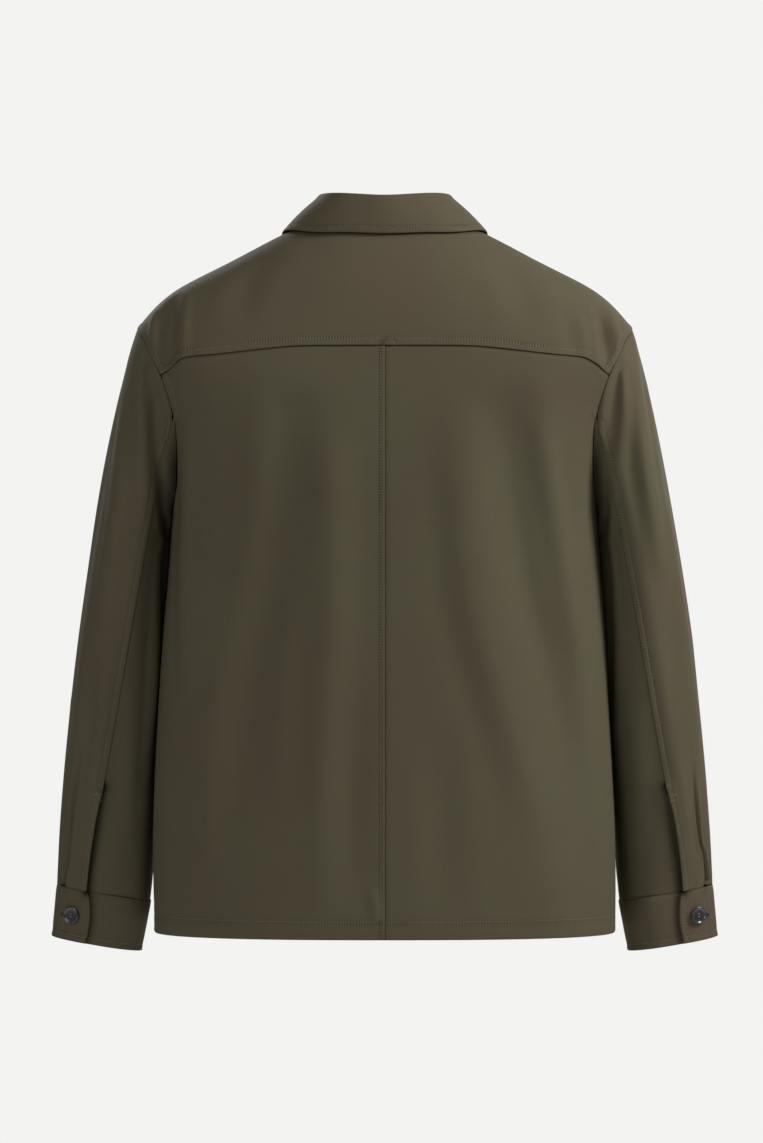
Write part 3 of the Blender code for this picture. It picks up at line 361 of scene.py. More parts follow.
def runs_of(node):
    """The runs of one piece: pairs of the neighbour's name, or free, and the places."""
    runs = []
    for row in rims[node]:
        ring = row[:-1]
        count = len(ring)
        names = []
        for place in ring:
            near = [(tree.find(Vector(place))[2], other)
                    for other, tree in rim_trees.items() if other != node]
            names.append(min(near)[1] if min(near)[0] < SIDE_BY_SIDE else "free")
        labels = ["free" if "free" in (names[i], names[i - count + 1]) else names[i]
                  for i in range(count)]
        ways = unit(np.roll(ring, -1, axis=0) - ring)
        starts = [i for i in range(count)
                  if labels[i] != labels[i - 1] or ways[i] @ ways[i - 1] < CORNER] or [0]
        for a, b in zip(starts, starts[1:] + [starts[0] + count]):
            runs.append((labels[a], np.array([ring[k % count] for k in range(a, b + 1)])))
    return runs


def length_of(line):
    return np.linalg.norm(np.diff(line, axis=0), axis=1).sum()


rim_trees = {node: rim_tree(rows) for node, rows in rims.items()}
runs = {node: runs_of(node) for node in rims}
for node, found in runs.items():
    print(node, [(label, round(length_of(places), 3)) for label, places in found
                 if length_of(places) > SHORTEST_RUN])

# %% [markdown]
# ## Looking for places on the cloth
#
# Folds and bar-tacks are noted as a maker would see them from one side, as two numbers: how far
# aside, and how high. A ray from that side finds the place on the cloth. From behind, the rays
# start at the camera, so that a line lands where the picture shows it.

# %% Rays onto the cloth
plain_trees = {node: tree_of(frame["nodes"][node]) for node in CLOTH_PIECES}


def ray_from(side, across, height):
    """The start and the way of a ray. across runs along X, or along Y seen from a side."""
    if side == "behind":
        through = Vector((across, 0.0, height))
        return EYE.copy(), (through - EYE).normalized()
    if side == "front":
        return Vector((across, -1.0, height)), Vector((0.0, 1.0, 0.0))
    outward = 1.0 if side == "left" else -1.0
    return Vector((outward, across, height)), Vector((-outward, 0.0, 0.0))


def first_hit(trees, start, way):
    """The nearest place that a ray meets, if it meets any."""
    hits = [tree.ray_cast(start, way) for tree in trees]
    hits = [(distance, tuple(place)) for place, _, _, distance in hits if place is not None]
    return min(hits, key=lambda hit: hit[0])[1] if hits else None


def bend_through(points, count):
    """Many points on a smooth curve through a few."""
    points = np.asarray(points, dtype=float)
    if len(points) < 3:
        t = np.linspace(0, 1, count)[:, None]
        return points[0] + (points[-1] - points[0]) * t
    padded = np.vstack([2 * points[0] - points[1], points, 2 * points[-1] - points[-2]])
    out = []
    for at in np.linspace(0.0, len(points) - 1.000001, count):
        i, t = int(at), at - int(at)
        a, b, c, d = padded[i:i + 4]
        out.append(0.5 * (2 * b + (c - a) * t + (2 * a - 5 * b + 4 * c - d) * t ** 2
                          + (3 * b - a - 3 * c + d) * t ** 3))
    return np.array(out)


def places_on(trees, side, points, count):
    """The places on the cloth along a line that is seen from one side."""
    places = [first_hit(trees, *ray_from(side, *spot)) for spot in bend_through(points, count)]
    return np.array([place for place in places if place])


print("rays ready for", len(plain_trees), "pieces")

# %% [markdown]
# ## How each seam is made
#
# A lapped seam has its allowance folded under one piece, so that piece stands a little proud
# along its rim, its edge casts a thin shadow, and a row of stitches lies 5 to 7 mm in from it. The
# yoke laps over the back and the fronts, and the body laps over the sleeves. Hem, collar, neck
# and front edge have stitches but no lap, and a cuff's free edge is a thick fold.

# %% The seams and their stitches
BEHIND, IN_FRONT, ALL_ROUND = 1, -1, 0
SEAMS = [
    # sewing, piece, neighbours, side of the garment, metres from the rim to each row of stitches,
    # how far the piece stands proud there, how clear the dents of the stitches are
    ("yoke", "yoke", ("back_left", "back_right"), ALL_ROUND, (0.0070,), 0.00085, 1.5),
    ("yoke", "yoke", ("front_left", "front_right"), ALL_ROUND, (0.0070,), 0.00060, 1.2),
    ("back", "back_left", ("back_right",), ALL_ROUND, (0.0046,), 0.00055, 1.2),
    ("placket", "front_left", ("free",), IN_FRONT, (0.0045, 0.0395), 0.0, 0.9),
    ("neck", "collar_stand", ("front_left", "front_right", "yoke"), ALL_ROUND, (0.0020,), 0.0, 0.3),
    ("collar", "collar_leaf", ("free",), ALL_ROUND, (0.0065,), 0.0, 1.3),
]
for side in SIDES:
    top, under, cuff = "sleeve_top_" + side, "sleeve_under_" + side, "cuff_" + side
    for piece in ("yoke", "back_" + side, "front_" + side):
        SEAMS.append(("armhole_" + side, piece, (top,), ALL_ROUND, (0.0070,), 0.00050, 0.5))
    SEAMS += [
        ("side_" + side, "front_" + side, ("back_" + side,), ALL_ROUND, (0.0060,), 0.00035, 0.3),
        ("elbow_" + side, top, (under,), BEHIND, (0.0052,), 0.00050, 0.9),
        ("vent_" + side, top, ("free",), BEHIND, (0.0052,), 0.00190, 0.3),
        ("hem", "back_" + side, ("free",), BEHIND, (0.0180,), 0.0, 1.1),
        ("hem", "front_" + side, ("free",), IN_FRONT, (0.0180,), 0.0, 0.75),
        ("cuff_" + side, cuff, (top, under), ALL_ROUND, (0.0030,), 0.0, 0.6),
        ("cuff_" + side, cuff, ("free",), ALL_ROUND, (0.0065,), 0.00080, 0.45),
    ]
LONG_ENOUGH = {"vent": 0.10, "hem": 0.20, "cuff": 0.018, "placket": 0.09, "collar": 0.07,
               "neck": 0.05}
HEM_TOP, COLLAR_POINTS_BELOW, CUFF_TOP = -0.700, -0.050, -0.69
PLACKET_EDGE, PLACKET_WITHIN = -0.0195, 0.004


def seam_lines(sewing, piece, beside, where):
    """The runs of a piece that this sewing follows."""
    found = []
    for label, places in runs[piece]:
        kind = sewing.split("_")[0]
        middle = places.mean(axis=0)
        level = np.ptp(places[:, 2]) < SHORTEST_RUN
        keep = label in beside and length_of(places) > LONG_ENOUGH.get(kind, SHORTEST_RUN)
        keep = keep and (where == ALL_ROUND or middle[1] * where > 0)
        if kind == "hem":
            keep = keep and places[:, 2].max() < HEM_TOP
        if kind == "collar":
            keep = keep and places[:, 2].min() < COLLAR_POINTS_BELOW
        if kind == "placket":
            keep = keep and np.abs(places[:, 0] - PLACKET_EDGE).max() < PLACKET_WITHIN
        if kind == "cuff" and "free" in beside:
            keep = keep and not (level and middle[2] > CUFF_TOP)
        if keep:
            found.append(places)
    return found


sewn_runs = [(sewing, piece, places, insets, lap, clear)
             for sewing, piece, beside, where, insets, lap, clear in SEAMS
             for places in seam_lines(sewing, piece, beside, where)]
for sewing, piece, places, *_ in sewn_runs:
    print(sewing, "on", piece, round(length_of(places), 3), "m")

# %% [markdown]
# ## Creases placed one by one
#
# The cloth is a firm, smooth twill, so it has few creases: long soft troughs down the back,
# some drag from the armholes, a little slack at the elbows and above the cuffs, and one narrow
# pleat above each cuff. Each crease is a line of a few places, a width and a height (below zero
# for a trough). No two are alike. The hidden sides get creases of the same kind.

# %% The creases, in millimetres: half width, height, then where they run
BODY = ("yoke", "back_left", "back_right", "front_left", "front_right")
LEFT_ARM = ("sleeve_top_left", "sleeve_under_left")
RIGHT_ARM = ("sleeve_top_right", "sleeve_under_right")
CREASE_PLACES = 16

CREASES = [
    # the back: long troughs and the ridges beside them
    (BODY, "behind", [
        (20, -4, (97, -200), (107, -319), (121, -370), (138, -472), (140, -580)),
        (18, 2.6, (58, -190), (53, -330), (60, -470), (66, -600)),
        (19, -4.2, (-124, -190), (-135, -290), (-149, -370), (-172, -450), (-200, -580)),
        (18, 3, (-75, -200), (-87, -360), (-118, -470), (-165, -620)),
        (12, 3, (-160, -180), (-185, -330), (-210, -470)),
        (12, 4.2, (204, -150), (203, -250), (205, -360), (204, -470)),
        (18, -2, (156, -150), (154, -230), (162, -330), (176, -450)),
        (18, -2.2, (30, -460), (36, -580), (33, -690)),
        (18, -2.2, (-50, -500), (-58, -610), (-56, -700)),
        (18, 2.4, (176, -440), (186, -560), (182, -680)),
        (5.5, 1.1, (13, -664), (10, -685), (12, -703)),
        # the yoke behind the shoulders, and the back just below it
        (10, -6.2, (218, -60), (221.5, -98), (222.5, -145), (219, -185)),
        (6, 2, (236, -70), (236, -100), (232, -128)),
        (8, -8.4, (-219, -70), (-227, -98), (-230, -136)),
        (8.5, 2, (-196, -72), (-203, -98), (-207, -125)),
    ]),
    (("yoke",), "behind", [
        (16, -1.6, (118, -20), (140, -50), (150, -90)),
        (17, -1.8, (-112, -20), (-135, -50), (-150, -100)),
    ]),
    # the front, much as the back
    (BODY, "front", [
        (17, -4.2, (100, -130), (112, -270), (120, -400), (134, -570)),
        (13, 3.2, (165, -150), (176, -270), (182, -400)),
        (15, -2.4, (66, -260), (70, -420), (66, -620)),
        (16, -4, (-92, -120), (-106, -260), (-118, -380), (-126, -520)),
        (14, 3, (-150, -160), (-168, -300), (-178, -460)),
        (15, -2.2, (-60, -320), (-68, -480), (-64, -660)),
        (10, -3.4, (-207, -220), (-178, -275), (-140, -305)),
        (9, -3, (200, -222), (174, -262), (146, -300)),
        (17, 2.8, (150, -500), (160, -610), (156, -700)),
        (16, 2.8, (-164, -520), (-172, -620), (-170, -700)),
    ]),
    # the sides, where the sleeves hang
    (BODY, "left", [
        (30, 2.8, (12, -360), (12, -520), (12, -680)),
        (14, -2.4, (-30, -340), (-36, -480), (-30, -600)),
    ]),
    (BODY, "right", [
        (14, -2.4, (-28, -360), (-34, -500), (-26, -640)),
    ]),
    # the left sleeve, behind, outside and in front
    (LEFT_ARM, "behind", [
        (6, 2.2, (247, -95), (249, -130), (254, -180)),
        (11, 4.2, (262, -120), (274, -240), (285, -370), (292, -490)),
        (11, -8.8, (240, -100), (234, -150), (231, -210), (230, -290)),
        (9.5, -8.5, (221.5, -215), (224, -290), (229, -380), (233, -520)),
        (10, -2.8, (300, -380), (306, -500), (312, -600)),
        (12, -2.2, (268, -450), (276, -550), (280, -640)),
        (3, -5, (312, -515), (316.5, -561), (321.5, -610), (326.2, -668)),
    ]),
    (LEFT_ARM, "left", [
        (13, -4.2, (-60, -160), (-66, -300), (-72, -430)),
        (16, -1.6, (20, -170), (10, -320), (-6, -450)),
        (8, -3.2, (-94, -440), (-62, -466), (-28, -458)),
        (7, -2.4, (-94, -490), (-70, -500), (-46, -488)),
        (9, -3, (-50, -560), (-54, -610), (-52, -665)),
    ]),
    (LEFT_ARM, "front", [
        (11, -4.2, (262, -180), (256, -320), (268, -430)),
        (8, -3.6, (246, -440), (272, -470), (300, -460)),
        (7, -2.6, (250, -500), (275, -514), (296, -500)),
    ]),
    # the right sleeve
    (RIGHT_ARM, "behind", [
        (10.5, 6.6, (-253.5, -88), (-258.5, -150), (-268, -240), (-280, -350)),
        (8, -8.8, (-236.5, -105), (-235, -140), (-233, -175), (-229, -230)),
        (8, -8, (-221, -215), (-225, -290), (-231, -380), (-236, -500)),
        (10, -2.6, (-278, -150), (-290, -300), (-302, -460)),
        (12, -2.4, (-268, -420), (-276, -520), (-272, -640)),
        (8, 2.2, (-298, -520), (-306, -590), (-310, -660)),
        (3, -5, (-314, -530), (-317.4, -569), (-321.8, -607), (-328.7, -668)),
    ]),
    (RIGHT_ARM, "right", [
        (14, -4.2, (-56, -140), (-68, -290), (-70, -410)),
        (16, -1.6, (18, -150), (12, -300), (-4, -410)),
        (8, -3, (-94, -430), (-68, -454), (-34, -444)),
        (9, -2.8, (-52, -570), (-56, -620), (-52, -670)),
    ]),
    (RIGHT_ARM, "front", [
        (11, -4, (-258, -160), (-254, -300), (-266, -440)),
        (8, -3.4, (-248, -450), (-276, -480), (-304, -470)),
        (7, -2.4, (-254, -515), (-278, -527), (-300, -514)),
    ]),
]
crease_lines = []
for group, side, creases in CREASES:
    trees = [plain_trees[node] for node in group]
    for width, height, *places in creases:
        line = places_on(trees, side, np.array(places) / 1000, CREASE_PLACES)
        crease_lines.append((group, line, width / 1000, height / 1000))

print("creases:", len(crease_lines))

# %% [markdown]
# ## Finer faces beside the stitches
#
# A lap is 5 to 7 mm wide and a millimetre high at most, which the faces of the smooth shells are
# too large to show. So the outer faces close to the stitched rims and to the narrowest creases are
# subdivided once more.


# %% Distances from the stitches
def line_distance(points, line):
    """Each point's distance to a line of many places, and how far along it that is, 0 to 1."""
    best = np.full(len(points), np.inf)
    share = np.zeros(len(points))
    gone, whole = 0.0, length_of(line)
    for a, b in zip(line[:-1], line[1:]):
        step = b - a
        size = np.linalg.norm(step)
        t = np.clip((points - a) @ step / (step @ step + 1e-12), 0.0, 1.0)
        distance = np.linalg.norm(points - a - t[:, None] * step, axis=1)
        closer = distance < best
        best[closer] = distance[closer]
        share[closer] = (gone + t[closer] * size) / whole
        gone += size
    return best, share


def near_line(points, line, reach):
    """A mask of the points in the line's neighbourhood, and their distance and share along it."""
    low, high = line.min(axis=0) - reach, line.max(axis=0) + reach
    near = np.all((points > low) & (points < high), axis=1)
    if near.any():
        distance, share = line_distance(points[near], line)
    else:
        distance = share = np.zeros(0)
    return near, distance, share


# %% Subdivide near the stitches
FINER = {"reach": 0.010, "beside": 0.0028, "facing": -0.2, "shaded_reach": 0.006, "shaded": 0.0055}
NARROW = 0.005                          # the half width under which a crease is a pleat
CUFF_END = {"upright": 0.02, "inside": 0.31}


def split_faces(shell, chosen):
    edit_chosen(shell, chosen, "FACE")
    bpy.ops.mesh.subdivide(number_cuts=1)
    end_edit()
    return int(chosen.sum())


def refine(node, shell):
    """Finer faces on the outside, under the laps and beside the stitches."""
    centres, normals = (read_values(shell.data.polygons, kind) for kind in ("center", "normal"))
    chosen = np.zeros(len(centres), dtype=bool)
    for _, piece, line, insets, lap, _ in sewn_runs:
        if piece != node:
            continue
        near, distance, _ = near_line(centres, line, insets[-1] + FINER["reach"])
        for inset in insets:
            chosen[np.flatnonzero(near)[np.abs(distance - inset) < FINER["beside"]]] = True
            if lap:
                chosen[np.flatnonzero(near)[distance < inset]] = True
    chosen &= np.sum(normals * ways_out(node, centres), axis=1) > FINER["facing"]
    return split_faces(shell, chosen)


def is_cuff_end(sewing, line):
    """Whether this is the outer end of a cuff, which carries the buttonhole."""
    upright = np.ptp(line[:, 2]) > CUFF_END["upright"]
    return sewing.startswith("cuff") and upright and abs(line[:, 0].mean()) < CUFF_END["inside"]


def refine_shaded(node, shell):
    """Much finer faces beside vents, cuff ends and pleats, where the shade is narrow."""
    lines = [line for group, line, width, _ in crease_lines if node in group and width < NARROW]
    for sewing, piece, line, *_ in sewn_runs:
        under_vent = sewing.startswith("vent") and node == "sleeve_under_" + sewing[5:]
        if under_vent or (piece == node and is_cuff_end(sewing, line)):
            lines.append(line)
    centres = read_values(shell.data.polygons, "center")
    chosen = np.zeros(len(centres), dtype=bool)
    for line in lines:
        near, distance, _ = near_line(centres, line, FINER["shaded_reach"])
        chosen[np.flatnonzero(near)[distance < FINER["shaded"]]] = True
    if chosen.any():
        print(node, "finer still:", split_faces(shell, chosen))


def triangles(thing):
    return sum(len(face.vertices) - 2 for face in thing.data.polygons)


for node, shell in shells.items():
    print(node, "finer faces:", refine(node, shell), "triangles:", triangles(shell))
    refine_shaded(node, shell)
print("triangles of all the cloth:", sum(triangles(shell) for shell in shells.values()))


# %% Push the creases into the shells
CREASE = {"reach": 4, "rise": 0.30, "rise_at": 1.7, "rise_width": 0.75, "taper": 0.8,
          "pleat_end": 0.55}
HOLD = {"reach": 0.009, "share": 0.15, "pleat": 0.6, "underarm": -0.30}


def smooth_step(low, high, values):
    t = np.clip((values - low) / (high - low), 0.0, 1.0)
    return t * t * (3.0 - 2.0 * t)


def crease_lift(points, line, width, height):
    """A soft trough or ridge with a low rise on both sides, dying out at its ends."""
    lift = np.zeros(len(points))
    near, distance, share = near_line(points, line, width * CREASE["reach"])
    u = distance / width
    rise = CREASE["rise"] * np.exp(-((u - CREASE["rise_at"]) / CREASE["rise_width"]) ** 2)
    if width < NARROW:
        share = share * CREASE["pleat_end"]     # a pleat is deepest where the cuff's seam holds it
    taper = np.sin(math.pi * np.clip(share, 0.001, 0.999)) ** CREASE["taper"]
    lift[near] = height * (np.exp(-u ** 2) - rise) * taper
    return lift


holds = {}


def seam_hold(node, group, points):
    """Less than 1 near a seam to a piece that the crease doesn't reach, which stays shut so."""
    if (node, group) not in holds:
        hold = np.ones(len(points))
        for label, line in runs[node]:
            underarm = label == "free" and line[:, 2].max() > HOLD["underarm"]
            if underarm and node.startswith("sleeve") or label != "free" and label not in group:
                near, distance, _ = near_line(points, line, HOLD["reach"])
                free = smooth_step(0, HOLD["reach"], distance)
                hold[near] = np.minimum(hold[near], HOLD["share"] + (1 - HOLD["share"]) * free)
        holds[node, group] = hold
    return holds[node, group]


for node, shell in shells.items():
    points = read_points(shell)
    lift = np.zeros(len(points))
    for group, line, width, height in crease_lines:
        if node in group and len(line) > 2:
            hold = seam_hold(node, group, points)
            if width < NARROW:
                hold = np.maximum(hold, HOLD["pleat"])
            lift += crease_lift(points, line, width, height) * hold
    write_points(shell, points + ways_out(node, points) * lift[:, None])
    print(node, "lifted by", (lift.min() * 1000).round(2), "to", (lift.max() * 1000).round(2), "mm")

# %% [markdown]
# ## Sleeves hang against the body
#
# From the underarm down to the elbow each sleeve rests against the side of the body, and no light
# comes through between them. So the part of the sleeve that is nearest to the body is drawn to
# within half a millimetre of it, and the pull fades where the sleeve is further away.

# %% Press the sleeves to the body
PRESS = {"gap": 0.0005, "reach": 0.017, "search": 1.5, "eases": 0.35, "wall": 0.0016,
         "from": -0.245, "full": -0.270, "fades": -0.44, "to": -0.64, "front": 0.012, "behind": 0.040}
# the part of each sleeve against the body: near, far, fade, dark and dark_below set the painted shade
# there
CONTACT = {"top": -0.185, "fade": 0.055, "foot": -0.690, "aside": 0.29, "near": 0.002, "far": 0.016,
           "dark": 0.82, "dark_below": 0.45}
contact = {}                            # how far each point of a sleeve is from the body


def press(node, trees):
    """Draw one piece of a sleeve to the body."""
    shell = shells[node]
    points = read_points(shell)
    contact[node] = np.ones(len(points))
    inner = np.sum(read_values(shell.data.vertices, "normal") * ways_out(node, points), axis=1) < 0
    level = points[:, 2]
    wanted = (level < CONTACT["top"]) & (level > CONTACT["foot"])
    wanted &= np.abs(points[:, 0]) < CONTACT["aside"]
    moved = 0.0
    for index in np.flatnonzero(wanted):
        place = Vector(points[index])
        hits = [tree.find_nearest(place, PRESS["reach"] * PRESS["search"]) for tree in trees]
        hits = [hit for hit in hits if hit[0] is not None]
        if not hits:
            continue
        there, _, _, whole = min(hits, key=lambda hit: hit[3])
        distance = whole - (PRESS["wall"] if inner[index] else 0.0)
        contact[node][index] = distance
        if distance <= PRESS["gap"] or not PRESS["to"] < level[index] < PRESS["from"]:
            continue
        pull = distance - PRESS["gap"]
        pull *= 1.0 - smooth_step(PRESS["eases"], 1.0, distance / PRESS["reach"])
        pull *= smooth_step(PRESS["to"], PRESS["fades"], level[index])
        pull *= 1.0 - smooth_step(PRESS["full"], PRESS["from"], level[index])
        pull *= 1.0 - smooth_step(PRESS["front"], PRESS["behind"], points[index, 1])
        points[index] += (np.array(there) - points[index]) / max(whole, 1e-6) * pull
        moved = max(moved, pull)
    write_points(shell, points)
    print(node, "pressed by up to", round(moved * 1000, 1), "mm")


for side in SIDES:
    body_trees = [tree_of(shells[piece + side]) for piece in ("back_", "front_")]
    for piece in ("sleeve_top_", "sleeve_under_"):
        press(piece + side, body_trees)

# %% [markdown]
# ## Laps, grooves and pucker
#
# Each piece that laps over its neighbour is lifted along its rim, the neighbour is sunk a little
# beside it, and the cloth sinks under the stitches. How far along the row of stitches a point is,
# and how near to it, is kept in two attributes, from which the twill later gets the small dents
# between the stitches, as a bump and as painted shade. A third attribute keeps the painted shade
# in the folds: under a vent's edge, beside a lap, in a pleat, or where sleeve and body touch. Soft
# studio light alone leaves such narrow places too pale, so the twill is painted darker there.

# %% Where the seams close and the vents gape
GAPE = {"vent_left": 0.0018, "vent_right": 0.0030, "reach": 0.014, "foot": -0.668, "height": 0.106,
        "lean": 1.5}
CLOSE = {"by": 0.00009, "back": 0.00020, "reach": 0.0045}


def ways_in(node, line):
    """The ways from a rim into its piece, along the cloth."""
    return unit(np.cross(ways_out(node, line), np.gradient(line, axis=0)))


def places_at(line, share):
    """The number of the line's place that is nearest to each share of its length."""
    return np.clip((share * (len(line) - 1)).round().astype(int), 0, len(line) - 1)


def closing(node, points):
    """How far each point moves across its seam, so that seams close and vents gape."""
    moves = np.zeros_like(points)
    for sewing, piece, line, *_ in sewn_runs:
        if piece == node and sewing in GAPE:
            near, distance, _ = near_line(points, line, GAPE["reach"])
            up = np.clip((points[near][:, 2] - GAPE["foot"]) / GAPE["height"], 0.0, 1.0)
            pull = GAPE[sewing] * np.sin(math.pi * up ** GAPE["lean"])
            pull *= 1.0 - smooth_step(0.0, GAPE["reach"], distance)
            moves[near] += ways_in(node, line).mean(axis=0) * pull[:, None]
    for label, line in runs[node]:
        if label == "free" or length_of(line) < SHORTEST_RUN:
            continue
        across = unit(np.cross(unit(np.gradient(line, axis=0)), ways_out(node, line)))
        near, distance, share = near_line(points, line, CLOSE["reach"] * 2)
        by = CLOSE["back" if label.startswith("back") and node.startswith("back") else "by"]
        pull = by * (1.0 - smooth_step(0.0, CLOSE["reach"], distance))
        moves[near] += across[places_at(line, share)] * pull[:, None]
    return moves


print("vents gape by", GAPE["vent_left"], "and", GAPE["vent_right"], "m")

# %% The painted shade in the folds
FOLD_SHADE = {
    # sewing: how far the painted shade reaches beside the edge, in metres, and how dark it is
    "vent": (0.0056, 1.0), "cuff": (0.0044, 1.0), "yoke": (0.0012, 0.50), "back": (0.0011, 0.45),
    "armhole": (0.0013, 0.50), "elbow": (0.0012, 0.50), "side": (0.0010, 0.40),
    "pleat": (0.0013, 0.92),
}
SHADE_REACH = 2.5                       # how far out an edge's shade is reckoned, in its own reach
EDGE_FROM, EDGE_TO = -0.0002, 0.0004    # where a cuff end's own shade stops beside its rim
PLEAT_SHADE = {"reach": 0.012, "full_at": 0.8, "narrow": 0.6}


def fold_shade(node, points):
    """How much painted shade each point gets from an edge that lies over it, a pleat or the body."""
    shade = np.zeros(len(points))
    for sewing, piece, line, _, lap, _ in sewn_runs:
        kind = sewing.split("_")[0]
        same = piece == node
        if not lap or kind not in FOLD_SHADE or same != (kind == "cuff" and is_cuff_end(sewing, line)):
            continue
        reach, dark = FOLD_SHADE[kind]
        near, distance, share = near_line(points, line, reach * SHADE_REACH)
        amount = dark * np.exp(-(distance / reach) ** 2)
        if same:
            at = places_at(line, share)
            beside = np.sum((points[near] - line[at]) * ways_in(node, line)[at], axis=1)
            amount *= 1.0 - smooth_step(EDGE_FROM, EDGE_TO, beside)
        shade[near] = np.maximum(shade[near], amount)
    if node in contact:
        below = smooth_step(CONTACT["foot"], PRESS["fades"], points[:, 2])
        close = 1.0 - smooth_step(CONTACT["near"], CONTACT["far"], contact[node])
        close *= 1.0 - smooth_step(CONTACT["top"] - CONTACT["fade"], CONTACT["top"], points[:, 2])
        close *= CONTACT["dark_below"] + (1 - CONTACT["dark_below"]) * below
        shade = np.maximum(shade, CONTACT["dark"] * close)
    reach, dark = FOLD_SHADE["pleat"]
    for group, line, width, _ in crease_lines:
        if node in group and width < NARROW:
            near, distance, share = near_line(points, line, PLEAT_SHADE["reach"])
            amount = np.exp(-(distance / (reach * (PLEAT_SHADE["narrow"] + share))) ** 2)
            amount *= dark * smooth_step(0.0, PLEAT_SHADE["full_at"], share)
            shade[near] = np.maximum(shade[near], amount)
    return shade


print("shade beside:", ", ".join(FOLD_SHADE))

# %% Raise the laps
GROOVE = {"depth": 0.00022, "width": 0.0016}
SINK = {"share": 0.75, "width": 0.0030}
# where a lap's lift ends, in shares of the way to its stitches
ROLL = {"lap": (0.70, 1.25), "vent": (0.0, 2.6), "cuff": (0.0, 0.9)}
PUCKER = {"height": 0.00010, "reach": 0.010, "whole": 2.2}
PUCKER_WAVES = ((520, 1.0, 1), (263, 0.7, 2), (841, 0.5, 0))    # how often, how high, shift
DENTS = {"reach": 0.0019, "least": 0.65, "waves": (61, 23)}
SEAM_REACH = 0.012


def seam_relief(node, shell):
    """Lift the laps, sink what lies under them and the stitches, and keep the painted shade."""
    points = read_points(shell)
    shade = fold_shade(node, points)
    lift, raised, along, nearness = np.zeros((4, len(points)))
    for order, (sewing, piece, line, insets, lap, clear) in enumerate(sewn_runs):
        if piece != node and not lap:
            continue
        near, distance, share = near_line(points, line, insets[-1] + SEAM_REACH)
        gone = share * length_of(line)
        if piece != node:
            lift[near] -= lap * SINK["share"] * np.exp(-(distance / SINK["width"]) ** 2)
            continue
        if lap:
            wave = sum(size * np.sin(gone * often + shift * order)
                       for often, size, shift in PUCKER_WAVES) / PUCKER["whole"]
            lift[near] += PUCKER["height"] * wave * np.exp(-(distance / PUCKER["reach"]) ** 2)
        start, end = ROLL.get(sewing.split("_")[0], ROLL["lap"])
        height = lap * (1.0 - smooth_step(start * insets[0], end * insets[0], distance))
        raised[near] = np.maximum(raised[near], height)
        places = np.flatnonzero(near)
        uneven = np.sin(gone * DENTS["waves"][0] + 3 * order) * np.sin(gone * DENTS["waves"][1] + order)
        for inset in insets:
            lift[near] -= GROOVE["depth"] * np.exp(-((distance - inset) / GROOVE["width"]) ** 2)
            close = clear * np.exp(-((distance - inset) / DENTS["reach"]) ** 2)
            close *= DENTS["least"] + (1 - DENTS["least"]) * uneven
            better = close > nearness[places]
            nearness[places[better]] = close[better]
            along[places[better]] = gone[better]
    lift += raised
    write_points(shell, points + ways_out(node, points) * lift[:, None] + closing(node, points))
    for name, values in (("stitch_along", along), ("stitch_near", nearness), ("fold_shade", shade)):
        attribute = shell.data.attributes.new(name, "FLOAT", "POINT")
        attribute.data.foreach_set("value", values.astype(np.float32))
    return lift


for node, shell in shells.items():
    lift = seam_relief(node, shell)
    print(node, "seams lift it by", (lift.min() * 1000).round(2), "to", (lift.max() * 1000).round(2), "mm")

# %% [markdown]
# ## Sewing
#
# All the top stitching is one thread colour, close to the cloth's own, with a stitch every
# 2.9 mm. One stitch is modelled once, as a small flattened bead of thread. It is then copied
# along each seam, a few millimetres in from the rim, into one mesh for the seam.

# %% Model one stitch
STITCH = {"pitch": 0.00286, "length": 0.0021, "width": 0.00056, "height": 0.00046, "sunk": 0.00004,
          "looked_for_from": 0.0015, "lost_at": 0.006}


def model_stitch():
    """A small ball of few faces, flattened and lying along X."""
    bpy.ops.object.select_all(action="DESELECT")
    bpy.ops.mesh.primitive_uv_sphere_add(segments=5, ring_count=4, radius=0.5,
                                         rotation=(0, math.radians(90), 0))
    bead = bpy.context.active_object
    bead.name = "one_stitch"
    bpy.ops.object.transform_apply(location=True, rotation=True, scale=True)
    begin_edit(bead)
    bpy.ops.transform.resize(value=(STITCH["length"], STITCH["width"], STITCH["height"]),
                             center_override=(0, 0, 0))
    end_edit()
    return bead


one_stitch = model_stitch()
stitch_points = read_points(one_stitch)
stitch_faces = [tuple(face.vertices) for face in one_stitch.data.polygons]
print("one stitch has", len(stitch_faces), "faces")


# %% Walk a seam and lay stitches on it
def walk(places, ways, pitch):
    """Places, ways along and ways out at even steps along a line on the cloth."""
    steps = np.linalg.norm(np.diff(places, axis=0), axis=1)
    along = np.concatenate([[0.0], np.cumsum(steps)])
    count = max(int(along[-1] / pitch), 2)
    at = (np.arange(count) + 0.5) * along[-1] / count
    spots = np.stack([np.interp(at, along, places[:, k]) for k in range(3)], axis=1)
    outs = unit(np.stack([np.interp(at, along, ways[:, k]) for k in range(3)], axis=1))
    forward = np.gradient(spots, axis=0)
    forward = unit(forward - outs * np.sum(forward * outs, axis=1, keepdims=True))
    return spots, forward, outs


def beads(name, rows, size=(1.0, 1.0, 1.0)):
    """One mesh of beads: rows of places, ways along and ways out."""
    points, faces = [], []
    for spots, forward, outs in rows:
        asides = np.cross(outs, forward)
        for spot, ahead, aside, out in zip(spots, forward, asides, outs):
            base = len(points)
            shape = stitch_points * size
            points.extend(spot + shape[:, :1] * ahead + shape[:, 1:2] * aside + shape[:, 2:] * out)
            faces.extend(tuple(base + corner for corner in face) for face in stitch_faces)
    mesh = bpy.data.meshes.new(name)
    mesh.from_pydata([tuple(point) for point in points], [], faces)
    mesh.shade_smooth()
    thing = bpy.data.objects.new(name, mesh)
    bpy.context.scene.collection.objects.link(thing)
    low, high = np.min(points, axis=0).round(3), np.max(points, axis=0).round(3)
    print(name, len(faces) // len(stitch_faces), "stitches", low, high)
    return thing


cloth_trees = {node: tree_of(shell) for node, shell in shells.items()}


